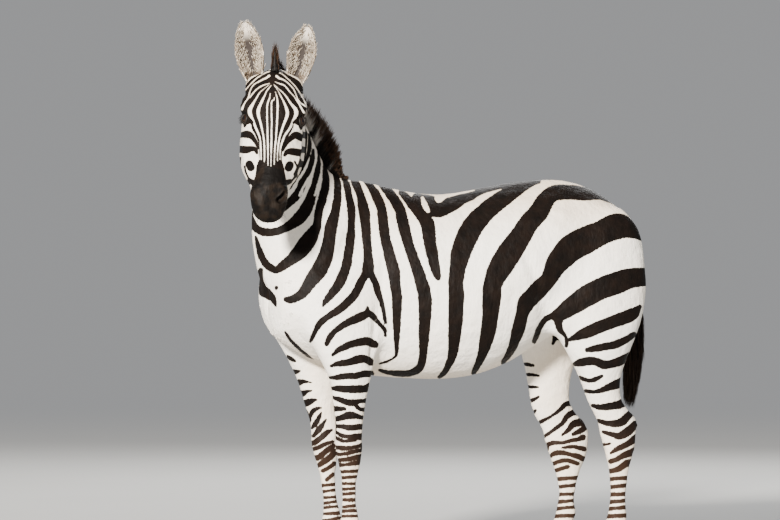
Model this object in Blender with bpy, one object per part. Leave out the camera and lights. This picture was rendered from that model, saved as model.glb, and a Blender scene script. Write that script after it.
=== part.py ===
"""A standing plains zebra at life size, its head turned to its left.

Metres, +Z up. The animal faces -X, so its left flank is towards -Y. Lengths along the body are measured
from the withers, and the last step moves the origin to the floor under the middle of the whole animal.
"""
import math

import bmesh
import bpy
import numpy as np
from mathutils import Matrix, Vector

# ---- driving sizes -------------------------------------------------------------------------------
GAP = 0.0003            # clearance between pieces that meet
VOXEL = 0.009           # cell of the remesh that grows the lofts into one body
BODY_TRIANGLES = 4900   # what the whole body keeps before it is parted
WITHERS = 1.305         # height at the withers
CORONET = 0.068         # height of a hoof's upper rim over its middle
CORONET_TILT = math.radians(16)   # the rim is higher at the toe
HOOF_RIM = 0.003        # how far a hoof's rim stands out from the pastern
TOE_SLOPE = 0.020       # how far the toe runs ahead of its rim at the floor

HEAD_HEADING = math.radians(70)   # how far the head is turned to the left
HEAD_PITCH = math.radians(-60)    # the face's slope, nose down
HEAD_ROLL = math.radians(-2.5)    # the poll leans towards the tail
POLL = Vector((-0.353, -0.255, 1.672))
EYE_RADIUS = 0.0205
EYE_ALONG = 0.172       # from the poll towards the nose
EYE_DEEP = 0.054        # below the line of forehead and nose
EYE_OUT = 0.084         # eyeball centre from the midline
EARS = (                # name, side, length, root from the midline, how far it leans out
    ("ear_left", 1, 0.188, 0.067, math.radians(12.1)),
    ("ear_right", -1, 0.195, 0.071, math.radians(9.8)),
)
EAR_WALL = 0.004

UP = Vector((0.0, 0.0, 1.0))


# ---- materials -----------------------------------------------------------------------------------
def finish(name, colour, roughness):
    """A Principled material of one colour."""
    material = bpy.data.materials.new(name)
    material.use_nodes = True
    shader = material.node_tree.nodes["Principled BSDF"]
    shader.inputs["Base Color"].default_value = (*colour, 1.0)
    shader.inputs["Roughness"].default_value = roughness
    shader.inputs["Metallic"].default_value = 0.0
    material.diffuse_color = (*colour, 1.0)
    return material


# ---- smooth curves and lofts ---------------------------------------------------------------------
def flowing(rows, steps):
    """Rows of numbers, with a smooth curve through each column: steps per span, chord-spaced."""
    rows = np.array(rows, dtype=float)
    before = 2 * rows[0] - rows[1]
    after = 2 * rows[-1] - rows[-2]
    padded = np.vstack([before, rows, after])
    made = []
    for i in range(1, len(padded) - 2):
        p0, p1, p2, p3 = padded[i - 1:i + 3]
        for k in range(steps):
            t = k / steps
            made.append(0.5 * (2 * p1 + (p2 - p0) * t + (2 * p0 - 5 * p1 + 4 * p2 - p3) * t ** 2
                               + (3 * p1 - p0 - 3 * p2 + p3) * t ** 3))
    made.append(rows[-1])
    return made


def ring_edges(bm, points):
    """A closed ring of edges through the points."""
    made = bmesh.ops.create_circle(bm, cap_ends=False, segments=len(points), radius=1.0)
    verts = made["verts"]
    for vert, point in zip(verts, points):
        vert.co = point
    return [edge for edge in {e for v in verts for e in v.link_edges}]


def loft(bm, rings):
    """A closed skin over rings of equally many points."""
    loops = [ring_edges(bm, points) for points in rings]
    for first, second in zip(loops, loops[1:]):
        bmesh.ops.bridge_loops(bm, edges=first + second)
    for loop in (loops[0], loops[-1]):
        bmesh.ops.contextual_create(bm, geom=loop)


def oval(top, bottom, half_width, side, peak=1.0, keel=1.0, belly=0.5, count=28):
    """Points round a section from its top and bottom: belly is where it is widest, from the bottom up.

    A peak or keel over 1 makes the upper or lower half narrower, like a crest or a brisket."""
    rise = top - bottom
    waist = bottom + rise * belly
    points = []
    for i in range(count):
        turn = 2 * math.pi * i / count
        across, up = math.sin(turn), math.cos(turn)
        sharp = peak if up > 0 else keel
        reach = math.copysign(abs(across) ** sharp, across) * half_width
        height = (top - waist) * up if up > 0 else (waist - bottom) * up
        points.append(waist + height + side * reach)
    return points


def tube(bm, rows, steps=4, count=28):
    """Lofts a long part from rows of (top x, y, z, bottom x, y, z, half width, peak, keel, belly)."""
    rows = flowing(rows, steps)
    tops = [Vector(row[0:3]) for row in rows]
    bottoms = [Vector(row[3:6]) for row in rows]
    middles = [(t + b) / 2 for t, b in zip(tops, bottoms)]
    rings = []
    for i, row in enumerate(rows):
        ahead = middles[min(i + 1, len(rows) - 1)] - middles[max(i - 1, 0)]
        side = ahead.cross(tops[i] - bottoms[i]).normalized()
        rings.append(oval(tops[i], bottoms[i], row[6], side, row[7], row[8], row[9], count))
    loft(bm, rings)


def ball(bm, centre, radii, axes=None, segments=20):
    """An ellipsoid; axes are the three directions of its radii."""
    turn = Matrix.Identity(4)
    if axes:
        turn = Matrix((axes[0], axes[1], axes[2])).transposed().to_4x4()
    place = Matrix.Translation(centre) @ turn @ Matrix.Diagonal((*radii, 1.0))
    rows = segments // 2 + 2
    bmesh.ops.create_uvsphere(bm, u_segments=segments, v_segments=rows, radius=1.0, matrix=place)


# ---- the head's own axes -------------------------------------------------------------------------
def head_axes():
    """Directions along the face towards the nose, out of the forehead, and to the animal's left."""
    ahead = Vector((-math.cos(HEAD_HEADING), -math.sin(HEAD_HEADING), 0.0))
    along = ahead * math.cos(HEAD_PITCH) + UP * math.sin(HEAD_PITCH)
    out = UP * math.cos(HEAD_PITCH) - ahead * math.sin(HEAD_PITCH)
    roll = Matrix.Rotation(HEAD_ROLL, 3, ahead)
    along, out = roll @ along, roll @ out
    return along, out, out.cross(along)


ALONG, OUT, LEFT = head_axes()


def on_head(along, out, left=0.0):
    """A place given from the poll, in the head's own axes."""
    return POLL + ALONG * along + OUT * out + LEFT * left


# ---- the body's lofts ----------------------------------------------------------------------------
def trunk(bm):
    """Chest to buttocks: x, height of back, height of belly, half width, peak, keel, belly."""
    rows = (
        (-0.300, 0.985, 0.850, 0.090, 1.0, 1.0, 0.50),
        (-0.270, 1.060, 0.770, 0.150, 1.0, 1.0, 0.50),
        (-0.175, 1.150, 0.705, 0.170, 1.1, 1.0, 0.48),
        (-0.070, 1.245, 0.665, 0.180, 1.5, 1.0, 0.46),
        (0.020, WITHERS - 0.002, 0.640, 0.195, 1.8, 1.0, 0.45),
        (0.110, WITHERS - 0.020, 0.627, 0.215, 1.5, 1.0, 0.45),
        (0.210, 1.262, 0.620, 0.236, 1.2, 1.0, 0.45),
        (0.320, 1.252, 0.616, 0.250, 1.1, 1.0, 0.45),
        (0.440, 1.268, 0.628, 0.254, 1.1, 1.0, 0.46),
        (0.560, 1.288, 0.668, 0.246, 1.1, 1.0, 0.48),
        (0.660, 1.300, 0.725, 0.230, 1.15, 1.0, 0.50),
        (0.760, 1.301, 0.775, 0.215, 1.15, 1.0, 0.50),
        (0.850, 1.279, 0.810, 0.200, 1.1, 1.0, 0.50),
        (0.930, 1.238, 0.845, 0.175, 1.1, 1.0, 0.50),
        (0.995, 1.178, 0.890, 0.135, 1.0, 1.0, 0.50),
        (1.032, 1.110, 0.950, 0.080, 1.0, 1.0, 0.50),
    )
    tube(bm, [(x, 0, top, x, 0, low, *form) for x, top, low, *form in rows])


def neck(bm):
    """Crest point, throat point, half width, peak, keel and belly, from the shoulders to the skull."""
    tube(bm, (
        (0.120, 0.0, 1.255, -0.175, 0.0, 0.780, 0.150, 1.6, 1.0, 0.40),
        (0.040, 0.0, 1.296, -0.296, 0.0, 0.910, 0.168, 1.6, 1.0, 0.40),
        (-0.040, -0.002, 1.314, -0.340, -0.004, 1.060, 0.136, 1.5, 1.0, 0.42),
        (-0.089, -0.016, 1.346, -0.350, -0.026, 1.195, 0.108, 1.4, 1.0, 0.44),
        (-0.143, -0.044, 1.424, -0.343, -0.056, 1.300, 0.094, 1.3, 1.0, 0.46),
        (-0.198, -0.088, 1.504, -0.350, -0.086, 1.375, 0.085, 1.3, 1.0, 0.48),
        (-0.272, -0.128, 1.576, -0.340, -0.122, 1.430, 0.077, 1.2, 1.0, 0.50),
        (-0.326, -0.188, 1.620, -0.338, -0.168, 1.470, 0.070, 1.1, 1.0, 0.50),
        (-0.342, -0.220, 1.630, -0.342, -0.202, 1.500, 0.062, 1.1, 1.0, 0.50),
    ))


def skull(bm):
    """Sections down the face: distance from the poll, forehead line, jaw line, then the half widths at
    the forehead, the cheek bone and the jaw."""
    rows = (
        (-0.030, -0.040, -0.180, 0.030, 0.052, 0.040),
        (0.000, -0.006, -0.222, 0.042, 0.074, 0.055),
        (0.045, 0.010, -0.252, 0.060, 0.094, 0.066),
        (0.100, 0.017, -0.262, 0.076, 0.106, 0.080),
        (0.160, 0.016, -0.250, 0.073, 0.105, 0.094),
        (0.220, 0.010, -0.226, 0.063, 0.104, 0.100),
        (0.280, 0.003, -0.202, 0.052, 0.101, 0.099),
        (0.340, -0.002, -0.180, 0.044, 0.087, 0.087),
        (0.400, -0.006, -0.153, 0.041, 0.067, 0.060),
        (0.450, -0.011, -0.146, 0.043, 0.062, 0.046),
        (0.490, -0.023, -0.140, 0.040, 0.060, 0.042),
        (0.520, -0.044, -0.124, 0.030, 0.048, 0.034),
        (0.538, -0.066, -0.104, 0.014, 0.026, 0.018),
    )
    rings = []
    for along, top, low, brow, cheek, jaw in flowing(rows, 3):
        deep = top - low
        half = (
            (top, 0.0), (top - 0.10 * deep, brow), (top - 0.42 * deep, cheek),
            (top - 0.80 * deep, jaw), (low, 0.0),
        )
        corners = list(half) + [(out, -left) for out, left in half[3:0:-1]]
        loop = flowing(corners[-1:] + corners + corners[:2], 4)[4:-5]
        rings.append([on_head(along, out, left) for out, left in loop])
    loft(bm, rings)


def face_forms(bm):
    """Eye sockets' rims, cheek muscles, nostrils' rims, lips and chin, that swell from the skull."""
    axes = (ALONG, OUT, LEFT)
    for side in (1, -1):
        ball(bm, on_head(EYE_ALONG - 0.046, -0.040, side * 0.089), (0.048, 0.024, 0.027), axes)
        ball(bm, on_head(EYE_ALONG + 0.010, -0.092, side * 0.080), (0.042, 0.018, 0.021), axes)
        ball(bm, on_head(0.130, -0.165, side * 0.055), (0.105, 0.078, 0.047), axes)
        ball(bm, on_head(0.262, -0.088, side * 0.076), (0.070, 0.016, 0.021), axes)
        ball(bm, on_head(0.462, -0.050, side * 0.040), (0.036, 0.030, 0.028), axes)
    for _, side, _, root, _ in EARS:
        ball(bm, on_head(0.042, -0.064, side * (root - 0.003)), (0.056, 0.038, 0.036), axes)
    ball(bm, on_head(0.498, -0.082), (0.040, 0.036, 0.046), axes)
    ball(bm, on_head(0.476, -0.126), (0.034, 0.026, 0.034), axes)


FORE = (
    # height, front, back, half width, from the midline
    (1.060, -0.130, 0.070, 0.050, 0.110),
    (0.980, -0.246, 0.100, 0.080, 0.118),
    (0.890, -0.260, 0.100, 0.092, 0.126),
    (0.800, -0.224, 0.080, 0.084, 0.132),
    (0.710, -0.166, 0.046, 0.070, 0.134),
    (0.620, -0.120, 0.026, 0.057, 0.132),
    (0.530, -0.103, 0.008, 0.046, 0.128),
    (0.460, -0.098, 0.001, 0.042, 0.126),
    (0.400, -0.098, -0.002, 0.044, 0.125),
    (0.345, -0.088, -0.006, 0.037, 0.125),
    (0.290, -0.077, -0.018, 0.027, 0.125),
    (0.215, -0.075, -0.020, 0.025, 0.125),
    (0.165, -0.079, -0.014, 0.030, 0.125),
    (0.135, -0.086, -0.008, 0.036, 0.125),
    (0.100, -0.097, -0.028, 0.033, 0.125),
    (0.062, -0.120, -0.030, 0.043, 0.125),
    (0.035, -0.124, -0.034, 0.043, 0.125),
)
HIND = (
    (1.200, 0.780, 0.960, 0.050, 0.090),
    (1.120, 0.690, 1.015, 0.088, 0.112),
    (1.020, 0.650, 1.030, 0.100, 0.118),
    (0.920, 0.640, 1.034, 0.106, 0.126),
    (0.820, 0.668, 1.014, 0.096, 0.134),
    (0.730, 0.722, 0.978, 0.080, 0.136),
    (0.650, 0.768, 0.945, 0.062, 0.132),
    (0.580, 0.800, 0.936, 0.050, 0.128),
    (0.530, 0.820, 0.952, 0.044, 0.126),
    (0.478, 0.850, 0.996, 0.041, 0.124),
    (0.430, 0.862, 1.000, 0.042, 0.122),
    (0.370, 0.880, 0.992, 0.040, 0.122),
    (0.310, 0.894, 0.974, 0.032, 0.122),
    (0.225, 0.902, 0.962, 0.028, 0.122),
    (0.170, 0.895, 0.962, 0.031, 0.122),
    (0.138, 0.888, 0.968, 0.037, 0.122),
    (0.102, 0.876, 0.945, 0.033, 0.122),
    (0.062, 0.854, 0.942, 0.042, 0.122),
    (0.035, 0.850, 0.938, 0.042, 0.122),
)


# where the pieces part: the neck's block, the head's outline along and out from the poll, and the
# legs' outlines in x and z
NECK_CUT = ((-0.125, 0, 1.150), (-0.817, 0, 0.577), (0.577, 0, 0.817), 0.9, 0.42, 0.45)
CHEEK_REACH = 0.16
ELBOW_IN = 0.040
REACH_OUT = 0.40
HEAD_ZONE = (
    (-0.055, 0.100), (0.620, 0.100), (0.620, -0.180), (0.200, -0.262), (0.085, -0.275), (-0.035, -0.020),
)
FORE_ZONE = (
    (-0.36, 0.745), (0.110, 0.800), (0.085, 0.690), (0.040, 0.610), (0.040, -0.05), (-0.36, -0.05),
)
HIND_ZONE = (
    (0.615, 0.790), (0.780, 0.870), (1.200, 1.010), (1.200, -0.05), (0.600, -0.05), (0.600, 0.70),
)


def ease(z, high, low):
    """0 above high, 1 below low, with a smooth change between."""
    t = min(max((high - z) / (high - low), 0.0), 1.0)
    return t * t * (3 - 2 * t)


def far_fore_shift(z):
    """The right foreleg leans: its forearm is a little ahead of the left one's, its foot behind."""
    return -0.026 * ease(-z, -0.45, -0.60) + 0.030 * ease(z, 0.45, 0.05)


def far_hind_shift(z):
    """The right hind leg stands a short step ahead of the left."""
    return -0.092 * ease(z, 0.98, 0.55)


def far_hind_swell(z):
    """Bent, its hock is deeper from front to back."""
    return 0.014 * ease(z, 0.66, 0.50) * (1 - ease(z, 0.34, 0.20))


def far_hind_drop(z):
    """Its hock is lower, as the joint is more bent."""
    return -0.038 * ease(z, 0.72, 0.52) * (1 - ease(z, 0.42, 0.24))


def upright(_):
    """No change at any height: a leg that stands straight under the body."""
    return 0.0


def leg(bm, table, side, shift=upright, drop=upright, swell=upright):
    """One leg from its table, on the right for side 1 and the left for side -1."""
    rows = []
    for z, ahead, behind, half, track in table:
        front = ahead + shift(z) - swell(z)
        back = behind + shift(z) + swell(z)
        level = z + drop(z)
        rows.append((front, side * track, level, back, side * track, level, half, 1.0, 1.0, 0.5))
    tube(bm, rows, steps=3, count=20)


LEGS = (                # side, table, how it leans, name
    (-1, FORE, upright, "fore_left"),
    (1, FORE, far_fore_shift, "fore_right"),
    (-1, HIND, upright, "hind_left"),
    (1, HIND, far_hind_shift, "hind_right"),
)


def leg_forms(bm):
    """Muscles and bones that show through the skin of the limbs."""
    for side in (1, -1):
        ball(bm, Vector((-0.175, side * 0.118, 0.965)), (0.070, 0.060, 0.105))
        ball(bm, Vector((0.060, side * 0.150, 0.835)), (0.060, 0.042, 0.085))
        ball(bm, Vector((0.690, side * 0.155, 1.120)), (0.100, 0.050, 0.090))
        ball(bm, Vector((0.740, side * 0.150, 0.880)), (0.120, 0.070, 0.130))


def tail_dock(bm):
    """The fleshy tail, from the end of the croup down behind the thighs."""
    rows = ((0.940, 1.160, 0.042), (0.992, 1.132, 0.035), (1.018, 1.075, 0.029), (1.029, 0.990, 0.024),
            (1.038, 0.900, 0.021), (1.045, 0.820, 0.018), (1.042, 0.760, 0.012))
    made = []
    for i, (x, z, half) in enumerate(rows):
        x1, z1, _ = rows[max(i - 1, 0)]
        x2, z2, _ = rows[min(i + 1, len(rows) - 1)]
        across = Vector((z1 - z2, 0, x2 - x1)).normalized() * half
        top, low = (x + across.x, 0, z + across.z), (x - across.x, 0, z - across.z)
        made.append((*top, *low, half * 1.1, 1.0, 1.0, 0.5))
    tube(bm, made, steps=2, count=12)


# ---- objects from meshes -------------------------------------------------------------------------
def to_object(bm, name):
    """A scene object from a bmesh, with its faces turned outwards."""
    bmesh.ops.remove_doubles(bm, verts=bm.verts, dist=1e-6)
    bmesh.ops.recalc_face_normals(bm, faces=bm.faces)
    mesh = bpy.data.meshes.new(name)
    bm.to_mesh(mesh)
    bm.free()
    piece = bpy.data.objects.new(name, mesh)
    bpy.context.collection.objects.link(piece)
    return piece


def applied(piece):
    """Turns a piece's modifiers into its mesh."""
    bpy.context.view_layer.update()
    graph = bpy.context.evaluated_depsgraph_get()
    mesh = bpy.data.meshes.new_from_object(piece.evaluated_get(graph))
    piece.modifiers.clear()
    old = piece.data
    piece.data = mesh
    bpy.data.meshes.remove(old)
    return piece


def twin(piece, name):
    """A copy with a mesh of its own."""
    copy = piece.copy()
    copy.data = piece.data.copy()
    copy.name = name
    bpy.context.collection.objects.link(copy)
    return copy


def discard(*pieces):
    """Removes helper objects."""
    for piece in pieces:
        bpy.data.objects.remove(piece)


def boolean(piece, tool, operation):
    """Joins, cuts or keeps the overlap with a tool, exactly."""
    step = piece.modifiers.new(operation.lower(), "BOOLEAN")
    step.object = tool
    step.operation = operation
    step.solver = "EXACT"
    return applied(piece)


def grown(piece, reach, name="grown"):
    """A copy whose surface is moved out by reach."""
    copy = twin(piece, name)
    mesh = copy.data
    normals = [vert.normal.copy() for vert in mesh.vertices]
    for vert, normal in zip(mesh.vertices, normals):
        vert.co += normal * reach
    return copy


def block(origin, normal, along, depth, reach_along, reach_across, grow=0.0):
    """A box that starts at origin and runs depth along normal; along is one side's direction."""
    normal = Vector(normal).normalized()
    along = Vector(along)
    along = (along - normal * along.dot(normal)).normalized()
    across = normal.cross(along)
    centre = Vector(origin) + normal * depth / 2
    turn = Matrix((normal, along, across)).transposed().to_4x4()
    sides = (depth, 2 * reach_along, 2 * reach_across)
    size = Matrix.Diagonal((*(side + 2 * grow for side in sides), 1.0))
    bm = bmesh.new()
    bmesh.ops.create_cube(bm, size=1.0, matrix=Matrix.Translation(centre) @ turn @ size)
    return to_object(bm, "block")


def prism(profile, near, far, axes=((1, 0, 0), (0, 0, 1), (0, 1, 0)), origin=(0, 0, 0), grow=0.0):
    """A block with a profile along the first two axes that spans the third from near to far.

    Grow moves every side out."""
    first, second, third = (Vector(axis) for axis in axes)
    bm = bmesh.new()
    verts = [bm.verts.new(Vector(origin) + first * a + second * b + third * near) for a, b in profile]
    face = bm.faces.new(verts)
    pushed = bmesh.ops.extrude_face_region(bm, geom=[face])["geom"]
    top = [item for item in pushed if isinstance(item, bmesh.types.BMVert)]
    bmesh.ops.translate(bm, verts=top, vec=third * (far - near))
    bmesh.ops.recalc_face_normals(bm, faces=bm.faces)
    bm.normal_update()
    moves = [(vert, vert.normal * grow * vert.calc_shell_factor()) for vert in bm.verts]
    for vert, move in moves:
        vert.co += move
    return to_object(bm, "prism")


def part_off(piece, name, shape, *zone):
    """Splits what lies in a zone's shape from a piece, with the clearance between, and returns it."""
    inside = shape(*zone)
    outside = shape(*zone, grow=GAP)
    made = boolean(twin(piece, name), inside, "INTERSECT")
    boolean(piece, outside, "DIFFERENCE")
    discard(inside, outside)
    return made


def keep_largest(bm):
    """Deletes the crumbs that a cut leaves, apart from the largest body."""
    left = set(bm.verts)
    bodies = []
    while left:
        found, queue = set(), [left.pop()]
        while queue:
            vert = queue.pop()
            found.add(vert)
            near = {edge.other_vert(vert) for edge in vert.link_edges} & left
            left -= near
            queue += near
        bodies.append(found)
    bodies.sort(key=len)
    crumbs = [vert for found in bodies[:-1] for vert in found]
    bmesh.ops.delete(bm, geom=crumbs, context="VERTS")


def cleaned(piece, material, sharp=50):
    """Triangulates, drops crumbs and slivers, shades smooth and gives the material."""
    bm = bmesh.new()
    bm.from_mesh(piece.data)
    keep_largest(bm)
    bmesh.ops.dissolve_degenerate(bm, edges=bm.edges, dist=2e-5)
    bmesh.ops.triangulate(bm, faces=bm.faces)
    bm.to_mesh(piece.data)
    bm.free()
    piece.data.materials.clear()
    piece.data.materials.append(material)
    piece.data.shade_smooth()
    piece.data.set_sharp_from_angle(angle=math.radians(sharp))
    return piece


# ---- the whole body, before it is parted ---------------------------------------------------------
def whole_body():
    """Trunk, neck, head and legs grown into one skin, then eased where they meet."""
    bm = bmesh.new()
    trunk(bm)
    neck(bm)
    skull(bm)
    face_forms(bm)
    leg(bm, FORE, -1)
    leg(bm, FORE, 1, far_fore_shift)
    leg(bm, HIND, -1)
    leg(bm, HIND, 1, far_hind_shift, far_hind_drop, far_hind_swell)
    leg_forms(bm)
    body = to_object(bm, "body")
    remesh = body.modifiers.new("one_skin", "REMESH")
    remesh.mode = "VOXEL"
    remesh.voxel_size = VOXEL
    applied(body)

    flow = body.vertex_groups.new(name="flow")
    for vert in body.data.vertices:
        face_ahead = (vert.co - POLL).dot(ALONG)
        in_head = ease(-face_ahead, 0.02, -0.06) * ease(-(vert.co - POLL).dot(OUT), 0.30, 0.22)
        amount = (1 - ease(vert.co.z, 0.72, 0.50)) * (1 - in_head)
        flow.add([vert.index], amount, "REPLACE")
    for name, group, repeat in (("soften", "", 3), ("flow", "flow", 22)):
        smooth = body.modifiers.new(name, "SMOOTH")
        smooth.factor = 0.5
        smooth.iterations = repeat
        smooth.vertex_group = group
    applied(body)
    body.vertex_groups.clear()

    thin = body.modifiers.new("thin", "DECIMATE")
    triangles = sum(len(face.vertices) - 2 for face in body.data.polygons)
    thin.ratio = BODY_TRIANGLES / triangles
    flat = body.modifiers.new("flat", "TRIANGULATE")
    flat.min_vertices = 4
    return applied(body)


# ---- pieces that grow from the body --------------------------------------------------------------
def hoof(name, middle, side, length, width, material):
    """A hoof on the floor: middle is the x of its rim's centre. Its rim is tilted, higher at the toe."""
    count = 18
    levels = (0.0, 0.5, 1.0)
    rings = []
    for level in levels:
        spread = 1 + 0.16 * (1 - level) ** 1.3
        ring = []
        for i in range(count):
            turn = 2 * math.pi * i / count
            ahead, across = math.cos(turn), math.sin(turn)
            heel = 0.80 if ahead < 0 else 1.0
            x = middle - ahead * heel * length / 2 * spread - TOE_SLOPE * (1 - level)
            y = side + across * width / 2 * spread
            rim = CORONET + (middle - x) * math.tan(CORONET_TILT) - GAP / 2
            ring.append(Vector((x, y, rim * level)))
        rings.append(ring)
    bm = bmesh.new()
    loft(bm, rings)
    sole = [edge for edge in bm.edges if all(vert.co.z < 1e-6 for vert in edge.verts)]
    bmesh.ops.bevel(bm, geom=sole, offset=0.002, segments=1, affect="EDGES", profile=0.5, material=-1)
    return cleaned(to_object(bm, name), material, 40)


def cup(name, side, length, root, lean, material):
    """An ear: a leaf rolled into a funnel, open towards the front, with a wall of even thickness."""
    base = on_head(0.016, -0.058, side * root)
    rise = (UP * math.cos(lean) + LEFT * side * math.sin(lean)).normalized()
    front = -(UP.cross(LEFT)).normalized()
    front = (front - rise * front.dot(rise)).normalized()
    across = rise.cross(front).normalized()
    rows = (
        # along the ear, half width, how far the rim comes forward, depth of the hollow
        (0.00, 0.033, 0.80, 0.028),
        (0.10, 0.039, 0.65, 0.031),
        (0.25, 0.045, 0.42, 0.032),
        (0.42, 0.050, 0.25, 0.031),
        (0.60, 0.047, 0.18, 0.028),
        (0.77, 0.037, 0.12, 0.021),
        (0.90, 0.023, 0.08, 0.013),
        (0.97, 0.012, 0.05, 0.006),
        (1.00, 0.005, 0.02, 0.003),
    )
    count = 11
    grid = []
    for along, half, roll, deep in rows:
        line = []
        for i in range(count):
            t = 2 * i / (count - 1) - 1
            arch = math.cos(t * math.pi / 2)
            out = math.sin(t * math.pi / 2)
            curl = 1 - 0.30 * roll * abs(t) ** 3
            place = base + rise * (along * length) + across * (out * half * curl)
            line.append(place - front * (deep * (arch - roll * abs(t) ** 2 * 0.9)))
        grid.append(line)
    bm = bmesh.new()
    rungs = []
    for line in grid:
        verts = [bm.verts.new(point) for point in line]
        rungs.append([bm.edges.new(pair) for pair in zip(verts, verts[1:])])
    for first, second in zip(rungs, rungs[1:]):
        bmesh.ops.bridge_loops(bm, edges=first + second)
    sheet = to_object(bm, name)
    wall = sheet.modifiers.new("wall", "SOLIDIFY")
    wall.thickness = EAR_WALL
    wall.offset = 0.0
    wall.use_even_offset = True
    return cleaned(applied(sheet), material)


def mane(name, material):
    """The upright mane: a fin that follows the crest, up to the tips of its hair."""
    rows = (
        # skin x, y, z, hair's direction x, y, z, height, half width
        (-0.010, 0.000, 1.298, 0.45, 0.00, 0.89, 0.012, 0.008),
        (-0.040, -0.002, 1.309, 0.50, 0.00, 0.86, 0.024, 0.014),
        (-0.089, -0.016, 1.339, 0.52, 0.12, 0.85, 0.084, 0.019),
        (-0.143, -0.044, 1.416, 0.47, 0.28, 0.84, 0.099, 0.021),
        (-0.198, -0.088, 1.496, 0.24, 0.46, 0.85, 0.090, 0.020),
        (-0.278, -0.128, 1.568, 0.08, 0.40, 0.91, 0.080, 0.019),
        (-0.326, -0.188, 1.636, 0.04, 0.20, 0.98, 0.092, 0.017),
        (-0.360, -0.264, 1.655, 0.00, -0.06, 1.00, 0.106, 0.014),
    )
    made = []
    for x, y, z, dx, dy, dz, height, half in rows:
        skin = Vector((x, y, z))
        lie = Vector((dx, dy, dz)).normalized()
        made.append((*(skin + lie * height), *(skin - lie * 0.03), half, 1.5, 0.8, 0.42))
    bm = bmesh.new()
    tube(bm, made, steps=2, count=12)
    return cleaned(to_object(bm, name), material)


def tuft(name, material):
    """The long hair of the tail, which hides the end of the dock."""
    rows = (
        (1.040, 0.905, 0.022, 0.022), (1.046, 0.840, 0.032, 0.030), (1.043, 0.760, 0.040, 0.035),
        (1.038, 0.670, 0.040, 0.034), (1.030, 0.590, 0.032, 0.028), (1.023, 0.530, 0.019, 0.018),
        (1.020, 0.500, 0.007, 0.007),
    )
    bm = bmesh.new()
    tube(bm, [(x + deep, 0, z, x - deep, 0, z, wide, 1, 1, 0.5) for x, z, deep, wide in rows], 2, 12)
    return cleaned(to_object(bm, name), material)


def main():
    """Builds every piece, parts the body and sets the origin."""
    for old in list(bpy.data.objects):
        bpy.data.objects.remove(old)
    coat = finish("striped_coat", (0.62, 0.56, 0.48), 0.75)
    hair = finish("mane_hair", (0.10, 0.08, 0.07), 0.85)
    horn = finish("hoof_horn", (0.07, 0.06, 0.055), 0.55)
    wet = finish("eye", (0.015, 0.010, 0.008), 0.08)

    body = whole_body()
    pieces = []
    down = (-math.sin(CORONET_TILT), 0, -math.cos(CORONET_TILT))
    for side, table, shift, label in LEGS:
        height, ahead, behind, half, track = table[-2]
        middle = (ahead + behind) / 2 + shift(height)
        ground = block((middle, side * track, CORONET + GAP / 2), down, (1, 0, 0), 0.2, 0.12, 0.10)
        boolean(body, ground, "DIFFERENCE")
        discard(ground)
        length, width = behind - ahead + HOOF_RIM, 2 * (half + HOOF_RIM)
        pieces.append(hoof("hoof_" + label, middle, side * track, length, width, horn))

    whole = twin(body, "whole")
    cutter = grown(whole, 2 * GAP)
    neck_piece = part_off(body, "neck", block, *NECK_CUT)
    face = (ALONG, OUT, LEFT)
    head = part_off(neck_piece, "head", prism, HEAD_ZONE, -CHEEK_REACH, CHEEK_REACH, face, POLL)

    for side, label in ((-1, "left"), (1, "right")):
        fore = part_off(body, "foreleg_" + label, prism, FORE_ZONE, side * ELBOW_IN, side * REACH_OUT)
        hind = part_off(body, "hindleg_" + label, prism, HIND_ZONE, side * GAP / 2, side * REACH_OUT)
        pieces += [cleaned(fore, coat), cleaned(hind, coat)]

    dock = bmesh.new()
    tail_dock(dock)
    tail = to_object(dock, "tail")
    boolean(tail, cutter, "DIFFERENCE")
    brush = tuft("tail_tuft", hair)
    tail_grown = grown(tail, 2 * GAP)
    boolean(brush, tail_grown, "DIFFERENCE")
    boolean(brush, cutter, "DIFFERENCE")
    crest = mane("mane", hair)
    boolean(crest, cutter, "DIFFERENCE")
    mane_grown = grown(crest, 2 * GAP)

    for side, label in ((1, "left"), (-1, "right")):
        bm = bmesh.new()
        ball(bm, on_head(EYE_ALONG, -EYE_DEEP, side * EYE_OUT), (EYE_RADIUS,) * 3, segments=14)
        eye = cleaned(to_object(bm, "eye_" + label), wet)
        socket = grown(eye, GAP)
        boolean(head, socket, "DIFFERENCE")
        discard(socket)
        pieces.append(eye)
    for name, side, length, root, lean in EARS:
        ear = cup(name, side, length, root, lean, coat)
        boolean(ear, cutter, "DIFFERENCE")
        boolean(ear, mane_grown, "DIFFERENCE")
        pieces.append(cleaned(ear, coat))

    discard(cutter, whole, tail_grown, mane_grown)
    pieces += [cleaned(body, coat), cleaned(neck_piece, coat), cleaned(head, coat), cleaned(tail, coat),
               cleaned(brush, hair), cleaned(crest, hair)]
    body.name = "trunk"

    corners = np.array([vert.co for piece in pieces for vert in piece.data.vertices])
    low, high = corners.min(axis=0), corners.max(axis=0)
    home = Matrix.Translation((-(low[0] + high[0]) / 2, -(low[1] + high[1]) / 2, -low[2]))
    for piece in pieces:
        piece.data.transform(home)
    print("origin from the withers", tuple(round(float(v), 4) for v in home.translation))
    for piece in pieces:
        print(piece.name, len(piece.data.polygons))


main()
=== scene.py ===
# %% [markdown]
# # A standing plains zebra
#
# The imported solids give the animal's true outline. Here they get their looks: one skin over the flesh,
# stripes, eyes, ears, hair and horn. Everything is in metres, +Z up. The animal faces -X with its left
# flank towards -Y, and its head is turned to the left.

# %% load the frame
import math

import bmesh
import bpy
import numpy as np
from mathutils import Matrix, Vector
from mathutils.bvhtree import BVHTree


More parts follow.
